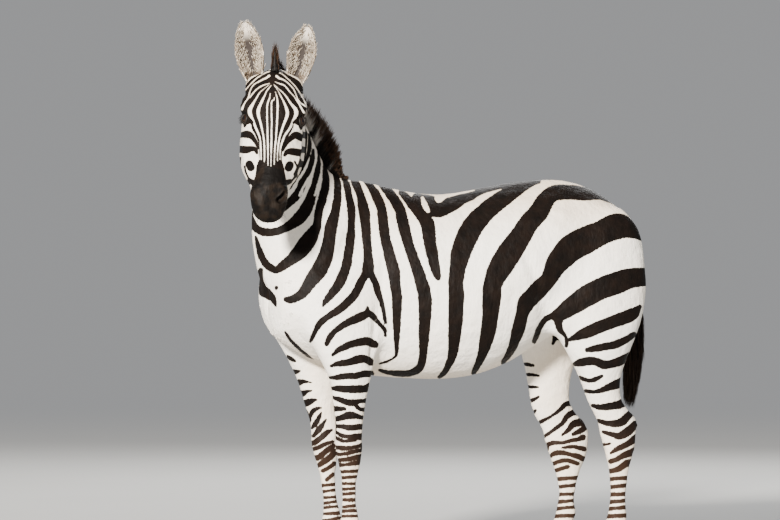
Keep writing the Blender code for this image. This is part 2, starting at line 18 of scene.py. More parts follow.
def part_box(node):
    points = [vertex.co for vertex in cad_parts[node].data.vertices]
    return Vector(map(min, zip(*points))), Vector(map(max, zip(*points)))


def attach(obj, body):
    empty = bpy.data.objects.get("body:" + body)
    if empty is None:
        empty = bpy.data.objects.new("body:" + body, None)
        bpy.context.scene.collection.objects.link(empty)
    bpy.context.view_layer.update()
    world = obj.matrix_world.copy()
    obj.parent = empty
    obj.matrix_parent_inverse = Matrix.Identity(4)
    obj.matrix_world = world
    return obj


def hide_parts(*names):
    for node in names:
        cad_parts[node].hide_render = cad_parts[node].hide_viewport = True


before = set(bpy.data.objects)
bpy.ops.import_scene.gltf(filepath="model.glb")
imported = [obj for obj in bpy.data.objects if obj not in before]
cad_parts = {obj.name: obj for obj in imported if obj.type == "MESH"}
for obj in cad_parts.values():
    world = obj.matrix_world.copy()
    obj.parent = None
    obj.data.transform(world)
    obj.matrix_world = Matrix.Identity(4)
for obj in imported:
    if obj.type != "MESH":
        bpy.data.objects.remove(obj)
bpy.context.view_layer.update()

rng = np.random.default_rng(7)

# %% [markdown]
# ## The animal's own measures
#
# Lengths are counted from the withers, the highest point over the shoulders, as a stockman measures a
# horse. The head is turned and hangs, so it has axes of its own: along the face, out of the forehead
# and to the left. A feature is then placed as on a straight head, and the axes carry it round.

# %% measures
WITHERS = np.array((-0.2920, 0.0985, 0.0))
HEADING, PITCH, ROLL = math.radians(70), math.radians(-60), math.radians(-2.5)
POLL = WITHERS + (-0.353, -0.255, 1.672)
EYE_ALONG, EYE_DEEP, EYE_OUT, EYE_RADIUS = 0.172, 0.054, 0.084, 0.0205
UP = np.array((0.0, 0.0, 1.0))


def unit(v):
    """v at a length of 1, or each row of it."""
    v = np.asarray(v, float)
    return v / np.maximum(np.linalg.norm(v, axis=-1, keepdims=True), 1e-9)


def head_axes():
    ahead = np.array((-math.cos(HEADING), -math.sin(HEADING), 0.0))
    along = ahead * math.cos(PITCH) + UP * math.sin(PITCH)
    out = UP * math.cos(PITCH) - ahead * math.sin(PITCH)
    roll = np.array(Matrix.Rotation(ROLL, 3, Vector(ahead)))
    along, out = roll @ along, roll @ out
    return along, out, np.cross(out, along)


ALONG, OUT, LEFT = head_axes()


def on_head(along, out, left=0.0):
    """A place given from the poll in the head's own axes."""
    place = POLL + np.multiply.outer(along, ALONG) + np.multiply.outer(out, OUT)
    return place + np.multiply.outer(left, LEFT)


def head_places(points):
    """The distances along, out and left of points, from the poll."""
    away = points - POLL
    return away @ ALONG, away @ OUT, away @ LEFT


def smooth(x, low, high):
    """0 below low, 1 above high, with an even turn between."""
    t = np.clip((np.asarray(x, float) - low) / (high - low), 0.0, 1.0)
    return t * t * (3 - 2 * t)


def flowing(rows, steps):
    """Rows of numbers with a smooth curve through each column."""
    rows = np.array(rows, float)
    padded = np.vstack([2 * rows[0] - rows[1], rows, 2 * rows[-1] - rows[-2]])
    made = []
    for p0, p1, p2, p3 in zip(padded, padded[1:], padded[2:], padded[3:]):
        for t in np.arange(steps) / steps:
            made.append(0.5 * (2 * p1 + (p2 - p0) * t + (2 * p0 - 5 * p1 + 4 * p2 - p3) * t ** 2
                               + (3 * p1 - p0 - 3 * p2 + p3) * t ** 3))
    return np.array(made + [rows[-1]])


print("poll", POLL.round(3), "nose runs", ALONG.round(3))

# %% [markdown]
# ## Where it is looked at from
#
# A long lens from 20 m keeps the animal's proportions, as a wildlife lens does. The camera stands a
# little off square to the flank, 20 degrees round, 1.40 m above the ground.

# %% camera, floor and light
VIEW_TURN = math.radians(-20)
VIEW_FAR = 20.0
VIEW_HEIGHT = 1.40
VIEW_MIDDLE = 0.1356        # the frame's middle, to the right of the withers
VIEW_WIDE = 2.644           # metres across the frame at the withers
VIEW_AIM = 1.027            # height of the frame's middle at the withers
RIGHT = np.array((math.cos(VIEW_TURN), math.sin(VIEW_TURN), 0.0))
NEAR = np.array((math.sin(VIEW_TURN), -math.cos(VIEW_TURN), 0.0))
WORLD = (0.93, 0.94, 0.96)
WORLD_LIGHT = 0.36


def link(thing):
    bpy.context.scene.collection.objects.link(thing)
    return thing


def aimed(thing, place, target):
    thing.location = Vector(place)
    thing.rotation_euler = (Vector(target) - Vector(place)).to_track_quat("-Z", "Y").to_euler()


target = WITHERS + RIGHT * VIEW_MIDDLE + UP * VIEW_AIM
eye_point = WITHERS + RIGHT * VIEW_MIDDLE + NEAR * VIEW_FAR + UP * VIEW_HEIGHT
lens = bpy.data.cameras.new("long_lens")
lens.sensor_width = 36.0
lens.lens = lens.sensor_width * VIEW_FAR / VIEW_WIDE
lens.clip_end = 200.0
camera = link(bpy.data.objects.new("camera", lens))
aimed(camera, eye_point, target)
bpy.context.scene.camera = camera


def lamp(name, right, near, high, size, watts, colour=(1, 1, 1)):
    """A square soft box, placed from the withers and turned to the flank."""
    light = bpy.data.lights.new(name, "AREA")
    light.size = size
    light.energy = watts
    light.color = colour
    box = link(bpy.data.objects.new(name, light))
    aimed(box, WITHERS + RIGHT * right + NEAR * near + UP * high, target)


# right, near, high, size, watts, colour
lamp("key", -7.4, 23.2, 9.6, 2.6, 34000, (1.0, 0.955, 0.89))
lamp("fill", 4.5, 5.5, 2.4, 4.0, 40, (0.93, 0.96, 1.0))
lamp("far_side", 1.0, -6.0, 4.0, 4.0, 420)

world = bpy.data.worlds.new("studio")
world.use_nodes = True
bpy.context.scene.world = world
sky = world.node_tree.nodes["Background"]
sky.inputs["Color"].default_value = (*WORLD, 1.0)
sky.inputs["Strength"].default_value = WORLD_LIGHT
print("camera at", eye_point.round(3), "lens", round(lens.lens, 1))

# %% [markdown]
# ## Materials from nodes
#
# A small helper adds a node, sets its sockets and returns it, so that each material below reads as a
# recipe. A value that is the same all over is set on the shader's own socket.


# %% a node helper
class Recipe:
    """A material's node tree, with short ways to add and join nodes."""

    def __init__(self, name, roughness, specular=0.5, **sockets):
        self.material = bpy.data.materials.new(name)
        self.material.use_nodes = True
        self.tree = self.material.node_tree
        self.shader = self.tree.nodes["Principled BSDF"]
        self.shader.inputs["Roughness"].default_value = roughness
        self.shader.inputs["Specular IOR Level"].default_value = specular
        for socket, value in sockets.items():
            self.shader.inputs[socket.replace("_", " ")].default_value = value

    def add(self, kind, inputs=(), **settings):
        node = self.tree.nodes.new(kind)
        for name, value in settings.items():
            setattr(node, name, value)
        for socket, value in dict(inputs).items():
            self.put(node.inputs[socket], value)
        return node

    def put(self, socket, value):
        if isinstance(value, bpy.types.NodeSocket):
            self.tree.links.new(value, socket)
        else:
            socket.default_value = value

    def math(self, operation, a, b=0.0, c=0.0, clamp=False):
        node = self.add("ShaderNodeMath", {0: a, 1: b, 2: c}, operation=operation, use_clamp=clamp)
        return node.outputs[0]

    def mix(self, share, a, b):
        node = self.add("ShaderNodeMix", {"Factor": share}, data_type="RGBA")
        for socket, value in (("A", a), ("B", b)):
            slot = next(s for s in node.inputs if s.name == socket and s.type == "RGBA")
            self.put(slot, value if isinstance(value, bpy.types.NodeSocket) else (*value, 1.0))
        return next(s for s in node.outputs if s.type == "RGBA")

    def ramp(self, value, low, high):
        """0 to 1 as value goes from low to high, evenly turned."""
        node = self.add("ShaderNodeMapRange", {"Value": value, "From Min": low, "From Max": high},
                        interpolation_type="SMOOTHSTEP")
        return node.outputs["Result"]

    def fade(self, value, low, high):
        """1 to 0 as value goes from low to high."""
        return self.math("SUBTRACT", 1.0, self.ramp(value, low, high))

    def read(self, name):
        return self.add("ShaderNodeAttribute", attribute_name=name).outputs["Fac"]

    def varied(self, name, cloud, much):
        """A mark of the mesh that wanders by much with a cloud, kept from 0 to 1."""
        mark = self.math("SUBTRACT", self.read(name), much / 2)
        return self.math("MULTIPLY_ADD", cloud, much, mark, clamp=True)

    def places(self, stretch=(1, 1, 1)):
        where = self.add("ShaderNodeTexCoord").outputs["Object"]
        return self.add("ShaderNodeMapping", {"Vector": where, "Scale": stretch}).outputs["Vector"]

    def noise(self, size, detail=2.0, stretch=(1, 1, 1), roughness=0.5):
        """A noise whose grains are size metres wide, from 0 to 1."""
        node = self.add("ShaderNodeTexNoise", {"Vector": self.places(stretch), "Scale": 1.0 / size,
                                               "Detail": detail, "Roughness": roughness})
        return node.outputs["Fac"]

    def colour(self, value):
        self.put(self.shader.inputs["Base Color"], value)

    def rough(self, value):
        self.put(self.shader.inputs["Roughness"], value)

    def bump(self, height, metres, strength=1.0, under=None):
        node = self.add("ShaderNodeBump", {"Height": height, "Distance": metres, "Strength": strength})
        if under is not None:
            self.put(node.inputs["Normal"], under)
        self.put(self.shader.inputs["Normal"], node.outputs["Normal"])


def floor_paint():
    """Pale paint that fades into the studio's wall far away."""
    paint = Recipe("floor_paint", 0.9, 0.1)
    cloud = paint.noise(0.9, 3.0)
    paint.colour(paint.mix(cloud, (0.40, 0.40, 0.39), (0.43, 0.43, 0.42)))
    where = paint.add("ShaderNodeTexCoord").outputs["Object"]
    far = paint.add("ShaderNodeVectorMath", {0: where}, operation="LENGTH").outputs["Value"]
    glow = paint.add("ShaderNodeEmission", {"Color": (*WORLD, 1.0), "Strength": WORLD_LIGHT})
    blend = paint.add("ShaderNodeMixShader", {"Fac": paint.ramp(far, 4.0, 13.0)})
    paint.tree.links.new(paint.shader.outputs[0], blend.inputs[1])
    paint.tree.links.new(glow.outputs[0], blend.inputs[2])
    paint.tree.links.new(blend.outputs[0], paint.tree.nodes["Material Output"].inputs["Surface"])
    return paint.material


def to_object(bm, name, material, smooth_faces=True):
    """A scene object from a bmesh, at the origin."""
    mesh = bpy.data.meshes.new(name)
    bm.to_mesh(mesh)
    bm.free()
    mesh.materials.append(material)
    if smooth_faces:
        mesh.shade_smooth()
    return link(bpy.data.objects.new(name, mesh))


bm = bmesh.new()
bmesh.ops.create_circle(bm, cap_ends=True, segments=64, radius=70.0)
floor = to_object(bm, "studio_floor", floor_paint(), False)

# %% [markdown]
# ## One skin over the flesh
#
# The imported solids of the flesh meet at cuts, so copies of them are grown by a hair and a voxel remesh
# fuses them into one closed surface. The facets then have to go without thinning the legs. Plain
# smoothing shrinks a form, so each step in is followed by a slightly longer step out, and the form stays.

# %% skin from the solids
FLESH = ("trunk", "neck", "head", "foreleg_left", "foreleg_right", "hindleg_left", "hindleg_right", "tail")
SKIN_CELL = 0.0120              # the remesh's voxel
COAT_DEPTH = 0.002              # room left for the short hair
GROWN = 0.0006                  # so that the solids overlap at their cuts
EASE_IN, EASE_OUT = 0.60, -0.62


def merged_copy(bm, name, reach):
    """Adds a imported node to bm, its doubles merged, moved out by reach."""
    part = bmesh.new()
    part.from_mesh(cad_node(name).data)
    bmesh.ops.remove_doubles(part, verts=part.verts, dist=1e-6)
    part.normal_update()
    for vert in part.verts:
        vert.co += vert.normal * reach
    mesh = bpy.data.meshes.new("copy")
    part.to_mesh(mesh)
    part.free()
    bm.from_mesh(mesh)
    bpy.data.meshes.remove(mesh)


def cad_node(name):
    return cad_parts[name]


def applied(piece):
    """Turns a piece's modifiers into its mesh."""
    bpy.context.view_layer.update()
    mesh = bpy.data.meshes.new_from_object(piece.evaluated_get(bpy.context.evaluated_depsgraph_get()))
    piece.modifiers.clear()
    old, piece.data = piece.data, mesh
    bpy.data.meshes.remove(old)
    mesh.name = piece.name
    return piece


def read_all(items, name, wide=1, kind=np.float32):
    """One property of every item in a mesh's list; a row for each where it is wide."""
    flat = np.empty(len(items) * wide, kind)
    items.foreach_get(name, flat)
    return flat if wide == 1 else flat.reshape(-1, wide)


def corners(mesh):
    return read_all(mesh.vertices, "co", 3, float)


def normals(mesh):
    return read_all(mesh.vertex_normals, "vector", 3).astype(float)


def put_corners(mesh, places):
    mesh.vertices.foreach_set("co", places.ravel())
    mesh.update()


def links(mesh):
    return read_all(mesh.edges, "vertices", 2, np.int32)


def averages(values, pairs, valence):
    """The mean of each corner's neighbours."""
    values = values.reshape(len(values), -1)
    out = np.empty_like(values)
    for i in range(values.shape[1]):
        out[:, i] = (np.bincount(pairs[:, 0], values[pairs[:, 1], i], len(values))
                     + np.bincount(pairs[:, 1], values[pairs[:, 0], i], len(values))) / valence
    return out


def eased(mesh, rounds, where=None):
    """Smooths a mesh in and out by turns, which keeps its size."""
    places, pairs = corners(mesh), links(mesh)
    valence = np.maximum(np.bincount(pairs.ravel(), minlength=len(places)), 1)
    share = 1.0 if where is None else where(places)[:, None]
    for _ in range(rounds):
        for step in (EASE_IN, EASE_OUT):
            places += share * step * (averages(places, pairs, valence) - places)
    put_corners(mesh, places)


bm = bmesh.new()
for name in FLESH + ("eye_left", "eye_right"):
    merged_copy(bm, name, GROWN)
skin = to_object(bm, "zebra_skin", bpy.data.materials.new("unpainted"))
cells = skin.modifiers.new("one_surface", "REMESH")
cells.mode = "VOXEL"
cells.voxel_size = SKIN_CELL
applied(skin)
eased(skin.data, 18)
print("skin", len(skin.data.polygons), "faces")

# %% [markdown]
# ## Finer where the detail is
#
# A face needs more corners than a flank, and so do the thin lower legs. Subdividing only the head and
# the legs, and then the front of the face and the muzzle again, keeps the whole skin light.

# %% finer head
JAW_LINE = (0.905, 0.426)       # normal of the cut between head and neck, along and out


def on_head_part(points):
    """1 on the head, 0 on the neck and body."""
    along, out, left = head_places(points)
    back = (along + 0.035) * JAW_LINE[0] + (out + 0.02) * JAW_LINE[1]
    return smooth(back, -0.012, 0.012) * smooth(out, -0.31, -0.28) * (np.abs(left) < 0.17) * (along < 0.62)


def refine(piece, wanted):
    """Cuts every edge of the wanted faces in two."""
    bm = bmesh.new()
    bm.from_mesh(piece.data)
    centres = np.array([face.calc_center_median() for face in bm.faces])
    facing = np.array([face.normal for face in bm.faces])
    chosen = wanted(centres, facing)
    edges = {edge for face, use in zip(bm.faces, chosen) if use for edge in face.edges}
    bmesh.ops.subdivide_edges(bm, edges=list(edges), cuts=1, use_grid_fill=True)
    bmesh.ops.triangulate(bm, faces=[face for face in bm.faces if len(face.verts) > 4])
    bm.to_mesh(piece.data)
    bm.free()


def face_front(centres, facing):
    along, out, _ = head_places(centres)
    round_eye = np.hypot(along - EYE_ALONG, out + EYE_DEEP) < 0.050
    fine = (facing @ OUT > 0.15) & (along > 0.02) & (out > -0.13)
    muzzle = (along > 0.40) & (out > -0.16)
    return (on_head_part(centres) > 0.5) & (fine | muzzle | round_eye) & (along > 0.0)


def triangle_count(piece):
    return sum(len(face.vertices) - 2 for face in piece.data.polygons)


LOW_LEG = 0.47                  # the legs are cut finer up to here, and eased a little further
refine(skin, lambda centres, facing: on_head_part(centres) > 0.5)
refine(skin, lambda centres, facing: centres[:, 2] < LOW_LEG)
eased(skin.data, 5, lambda places: np.maximum(on_head_part(places), places[:, 2] < LOW_LEG + 0.03))
refine(skin, face_front)
eased(skin.data, 3, on_head_part)
print("skin", len(skin.data.polygons), "faces,", triangle_count(skin), "triangles")

# %% [markdown]
# ## Modelling the head and body by moves
#
# A sculptor adds and takes away clay along the surface. Each line here does the same: a place on the
# head, the reach of the tool in the head's three directions, and how far the skin rises or sinks.

# %% forms of the face
SIDE_FACES = (1, -1)            # left, right
FACE_FORMS = (
    # along, out, left, reach along, out, left, rise
    (0.145, -0.028, 0.078, 0.030, 0.016, 0.014, 0.0035),     # brow ridge
    (0.180, -0.088, 0.088, 0.034, 0.010, 0.020, 0.0018),     # below the lower lid
    (0.200, -0.030, 0.070, 0.020, 0.014, 0.010, -0.0030),    # hollow before the inner corner
    (0.120, -0.055, 0.092, 0.020, 0.020, 0.018, -0.0030),    # hollow of the temple
    (0.270, -0.075, 0.080, 0.090, 0.010, 0.030, 0.0030),     # crest of the cheek bone
    (0.300, -0.115, 0.075, 0.080, 0.016, 0.040, -0.0035),    # hollow under it
    (0.150, -0.170, 0.085, 0.080, 0.050, 0.040, 0.0030),     # round cheek
    (0.380, -0.060, 0.050, 0.050, 0.020, 0.022, -0.0040),    # flat before the nostril
    (0.452, -0.030, 0.052, 0.022, 0.020, 0.016, 0.0030),     # nostril's outer wing
    (0.500, -0.048, 0.030, 0.014, 0.016, 0.016, 0.0040),     # nostril's lower rim
    (0.520, -0.080, 0.000, 0.020, 0.016, 0.035, 0.0025),     # upper lip
    (0.500, -0.128, 0.000, 0.022, 0.012, 0.030, 0.0030),     # lower lip and chin
    (0.330, 0.000, 0.000, 0.120, 0.020, 0.016, 0.0010),      # bridge of the nose
)
NOSTRIL = (0.470, -0.040, 0.047)
NOSTRIL_RUN = unit((0.74, -0.18, -0.64))


def gauss(distance, reach):
    return np.exp(-(distance / reach) ** 2)


def model_face(mesh):
    places, outward = corners(mesh), normals(mesh)
    along, out, left = head_places(places)
    head = on_head_part(places)
    move = np.zeros(len(places))
    for a, o, l, reach_a, reach_o, reach_l, rise in FACE_FORMS:
        for side in SIDE_FACES if l else (1,):
            move += (rise * gauss(along - a, reach_a) * gauss(out - o, reach_o)
                     * gauss(left - side * l, reach_l))
    for side in SIDE_FACES:
        away = np.stack((along - NOSTRIL[0], out - NOSTRIL[1], side * left - NOSTRIL[2]), axis=1)
        run = away @ NOSTRIL_RUN
        curve = away - np.outer(run, NOSTRIL_RUN)
        curve[:, 0] += 14.0 * run ** 2
        across = np.linalg.norm(curve, axis=1)
        # the nostril is a pit along a bent line, with a rim round it
        pit = gauss(across, 0.0078) * smooth(-np.abs(run), -0.026, -0.014)
        rim = gauss(across - 0.0125, 0.0055) * gauss(run, 0.026)
        move += -0.017 * pit + 0.0028 * rim
    # the mouth is a slit between two full lips
    lips = -0.100 - (0.53 - along) * 0.24
    slit = smooth(along, 0.448, 0.462)
    move += -0.0065 * gauss(out - lips, 0.0036) * slit
    move += 0.0022 * gauss(np.abs(out - lips) - 0.0085, 0.0050) * slit
    # fine wrinkles behind the nostril
    folds = np.sin(along * 420 + 18 * np.abs(left) / 0.06)
    folds *= gauss(along - 0.430, 0.018)
    folds *= gauss(np.abs(left) - 0.052, 0.02)
    move += 0.0006 * folds
    places += outward * (move * head)[:, None]
    put_corners(mesh, places)


model_face(skin.data)

# %% [markdown]
# ## Eyes in their lids
#
# An equid's eye looks to the side and a little forward. The skin closes over the ball all round an
# almond-shaped opening, and sinks behind the ball within it. The lids' thick dark edge is a piece of
# its own, swept round the opening, so that it stays crisp.

# %% eye openings
GAZE_SIDE, GAZE_OUT, GAZE_ALONG = 0.66, 0.74, 0.10
LID_LONG, LID_UP, LID_LOW = 0.0172, 0.0135, 0.0112


def eye_axes(side):
    """The eye's middle, where it looks, towards its inner corner and up its face."""
    middle = on_head(EYE_ALONG, -EYE_DEEP, side * EYE_OUT)
    gaze = unit(LEFT * side * GAZE_SIDE + OUT * GAZE_OUT + ALONG * GAZE_ALONG)
    inner = ALONG * 0.95 - OUT * 0.30
    inner = unit(inner - gaze * (inner @ gaze))
    upper = unit(np.cross(gaze, inner) * side)
    return middle, gaze, inner, upper


def open_lids(mesh):
    places = corners(mesh)
    for side in SIDE_FACES:
        middle, gaze, inner, upper = eye_axes(side)
        away = places - middle
        far = np.linalg.norm(away, axis=1)
        x, y, ahead = away @ inner, away @ upper, away @ gaze
        high = np.where(y > 0, LID_UP, LID_LOW)
        ring = np.sqrt((x / LID_LONG) ** 2 + (y / high) ** 2)
        near = (far < 0.060)
        shown = near & (ahead > 0) & (ring < 1.06)
        hidden = near & ~shown
        lid = EYE_RADIUS + 0.0016 + 0.0016 * gauss(ring - 1.55, 0.35) * (ahead > 0)
        pull = np.where(hidden, np.maximum(far, lid), far)
        pull = np.where(shown, np.minimum(far, EYE_RADIUS - 0.004), pull)
        scale = np.where(near, pull / np.maximum(far, 1e-6), 1.0)
        places = middle + away * scale[:, None]
    put_corners(mesh, places)


open_lids(skin.data)


# %% muscle and fold on the body
def swept(points, rows, reach):
    """How near points are to a line through rows, from 1 on it to 0 far off."""
    line = flowing(rows, 4)
    nearest = np.full(len(points), 1e3)
    for start, end in zip(line, line[1:]):
        run = end - start
        share = np.clip(((points - start) @ run) / (run @ run), 0, 1)
        nearest = np.minimum(nearest, np.linalg.norm(points - start - np.outer(share, run), axis=1))
    return gauss(nearest, reach)


BODY_RELIEF = 1.35              # every rise below is made this much stronger
BODY_LINES = (
    # from the withers: a line over the surface, its reach, its rise
    # shoulder blade's ridge
    (((-0.03, 0.17, 1.22), (-0.11, 0.17, 1.08), (-0.18, 0.15, 0.98), (-0.20, 0.14, 0.92)), 0.018, 0.0035),
    # behind the shoulder
    (((0.06, 0.20, 1.15), (0.05, 0.20, 1.00), (0.03, 0.19, 0.86)), 0.020, -0.0045),
    # arm muscle
    (((-0.10, 0.18, 0.86), (-0.02, 0.19, 0.80), (0.05, 0.18, 0.74)), 0.022, 0.0035),
    # ribs' lower edge
    (((0.10, 0.23, 0.76), (0.24, 0.25, 0.74), (0.38, 0.25, 0.78)), 0.030, 0.0020),
    # flank fold
    (((0.56, 0.24, 1.02), (0.60, 0.23, 0.92), (0.66, 0.20, 0.80)), 0.024, -0.0060),
    # point of the hip
    (((0.56, 0.20, 1.17), (0.63, 0.20, 1.16), (0.70, 0.19, 1.12)), 0.022, 0.0040),
    # groove behind the thigh
    (((0.90, 0.16, 1.12), (0.92, 0.17, 1.00), (0.88, 0.17, 0.86)), 0.018, -0.0035),
    # stifle and gaskin
    (((0.66, 0.18, 0.86), (0.76, 0.18, 0.80), (0.84, 0.17, 0.72)), 0.024, 0.0040),
    # behind the elbow
    (((0.020, 0.19, 0.84), (0.015, 0.19, 0.76), (0.020, 0.18, 0.68)), 0.015, -0.0070),
    # groove from chest to foreleg
    (((-0.26, 0.06, 1.00), (-0.22, 0.10, 0.86), (-0.16, 0.12, 0.76)), 0.014, -0.0060),
    # groove between the breasts
    (((-0.29, 0.00, 1.04), (-0.30, 0.00, 0.92), (-0.26, 0.00, 0.80)), 0.016, -0.0080),
)
LEG_LINES = (
    # forearm muscle
    (((-0.105, 0.125, 0.62), (-0.100, 0.125, 0.52)), 0.014, 0.0020),
    # bone behind the knee
    (((-0.004, 0.125, 0.40), (0.004, 0.125, 0.375)), 0.014, 0.0035),
    # groove before the tendon
    (((-0.030, 0.125, 0.33), (-0.030, 0.125, 0.17)), 0.0065, -0.0022),
    # point of the hock
    (((0.985, 0.124, 0.50), (0.998, 0.124, 0.455)), 0.012, 0.0035),
    # hollow above the hock
    (((0.948, 0.124, 0.60), (0.935, 0.124, 0.54)), 0.014, -0.0045),
    # groove before the tendon
    (((0.938, 0.122, 0.33), (0.944, 0.122, 0.18)), 0.0070, -0.0024),
)


def ease_down(z, high, low):
    return smooth(high - z, 0.0, high - low)


def far_shift(points):
    """How the right legs stand apart from the left ones: their move along the body, and up."""
    x, z = points[:, 0], points[:, 2]
    fore = -0.026 * ease_down(-z, -0.45, -0.60) * ease_down(z, 0.75, 0.62) + 0.030 * ease_down(z, 0.45, 0.05)
    hind = -0.092 * ease_down(z, 0.98, 0.55)
    drop = -0.038 * ease_down(z, 0.72, 0.52) * (1 - ease_down(z, 0.42, 0.24))
    return np.where(x < 0.45, fore, hind), np.where(x < 0.45, 0.0, drop)


def model_body(mesh):
    places, outward = corners(mesh), normals(mesh)
    points = places - WITHERS
    shift, drop = far_shift(points)
    right = points[:, 1] > 0
    as_left = points * (1, -1, 1)
    as_left[:, 0] -= np.where(right, shift, 0)
    as_left[:, 2] -= np.where(right, drop, 0)
    as_left[:, 1] = np.abs(points[:, 1])
    move = np.zeros(len(points))
    for rows, reach, rise in BODY_LINES + LEG_LINES:
        move += BODY_RELIEF * rise * swept(as_left, rows, reach)
    x, y, z = as_left.T
    ribs = np.sin(x * 125 - z * 22)
    cage = gauss(x - 0.33, 0.17) * gauss(z - 0.95, 0.16) * smooth(y, 0.15, 0.22)
    move += 0.0007 * ribs * cage
    move *= 1 - on_head_part(places)
    places += outward * (move - COAT_DEPTH - GROWN)[:, None]
    put_corners(mesh, places)


model_body(skin.data)
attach(skin, "root")
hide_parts(*FLESH)
print("skin reaches", corners(skin.data).min(0).round(3), corners(skin.data).max(0).round(3))

# %% [markdown]
# ## Stripes as strokes
#
# Each zebra's stripes are its own. They are written down here as brush strokes on a side view: a few
# places along the stroke in millimetres from the withers, with its half width, so a thick stroke that
# tapers takes one row of numbers. A few strokes paint shade instead, or along with a stripe: the fold
# between chest and foreleg, the foreleg's front edge, and the cheek where it turns away from the camera.
# What is stored on the skin is the distance to the stroke's edge, which stays sharp between corners where
# a painted colour would blur.

# %% strokes of neck and trunk
NECK_STROKES = (
    # the upper neck, behind the head
    ((-230, 1612, 8), (-250, 1580, 12), (-280, 1545, 12), (-315, 1520, 8)),
    ((-205, 1575, 7), (-222, 1535, 12), (-248, 1495, 13), (-280, 1460, 12), (-320, 1440, 7)),
    ((-185, 1525, 7), (-200, 1480, 12), (-222, 1440, 13), (-250, 1400, 13), (-285, 1370, 11),
     (-320, 1355, 6)),
    ((-165, 1470, 7), (-178, 1430, 10), (-192, 1395, 12), (-212, 1360, 12), (-240, 1325, 12),
     (-270, 1305, 9), (-300, 1295, 5)),
    # from the jaw down to the chest
    ((-136, 1450, 6), (-140, 1420, 9), (-147, 1390, 9), (-160, 1350, 9), (-175, 1315, 9), (-200, 1280, 9),
     (-225, 1262, 6)),
    ((-235, 1190, 6), (-205, 1222, 12), (-178, 1250, 14), (-155, 1300, 13), (-131, 1350, 10),
     (-124, 1400, 4)),
    ((-338, 1215, 6), (-336, 1170, 9), (-322, 1138, 12), (-290, 1122, 12), (-250, 1124, 12),
     (-212, 1140, 14),
     (-182, 1160, 18), (-155, 1190, 20), (-136, 1230, 16), (-122, 1275, 12), (-114, 1310, 11),
     (-108, 1350, 10), (-112, 1400, 6)),
    ((-320, 1105, 3), (-311, 1072, 8), (-302, 1045, 10), (-286, 1015, 11), (-262, 997, 11), (-250, 993, 11),
     (-225, 1010, 14), (-195, 1032, 18), (-170, 1055, 24), (-142, 1092, 25), (-122, 1125, 18),
     (-112, 1150, 13),
     (-104, 1200, 12), (-88, 1250, 15), (-82, 1300, 12), (-88, 1345, 7), (-95, 1385, 4)),
    ((-221, 893, 3), (-212, 893, 9), (-190, 895, 13), (-160, 915, 16), (-140, 945, 20), (-118, 975, 24),
     (-100, 1000, 26), (-80, 1050, 23), (-70, 1100, 20), (-61, 1150, 19), (-48, 1200, 14), (-42, 1250, 12),
     (-45, 1300, 10), (-55, 1320, 6), (-70, 1345, 4)),
    ((-303, 992, 7), (-308, 955, 13), (-297, 926, 17), (-278, 910, 15), (-262, 897, 10), (-251, 872, 3)),
    ((-250, 934, 5), (-250, 932, 5)),
    # a thin dark line in the fold from the chest to the foreleg: painted shade of the crease
    ((-220, 783, 2.5), (-200, 753, 4), (-172, 726, 4), (-143, 703, 3.5), (-118, 678, 1.5)),
)
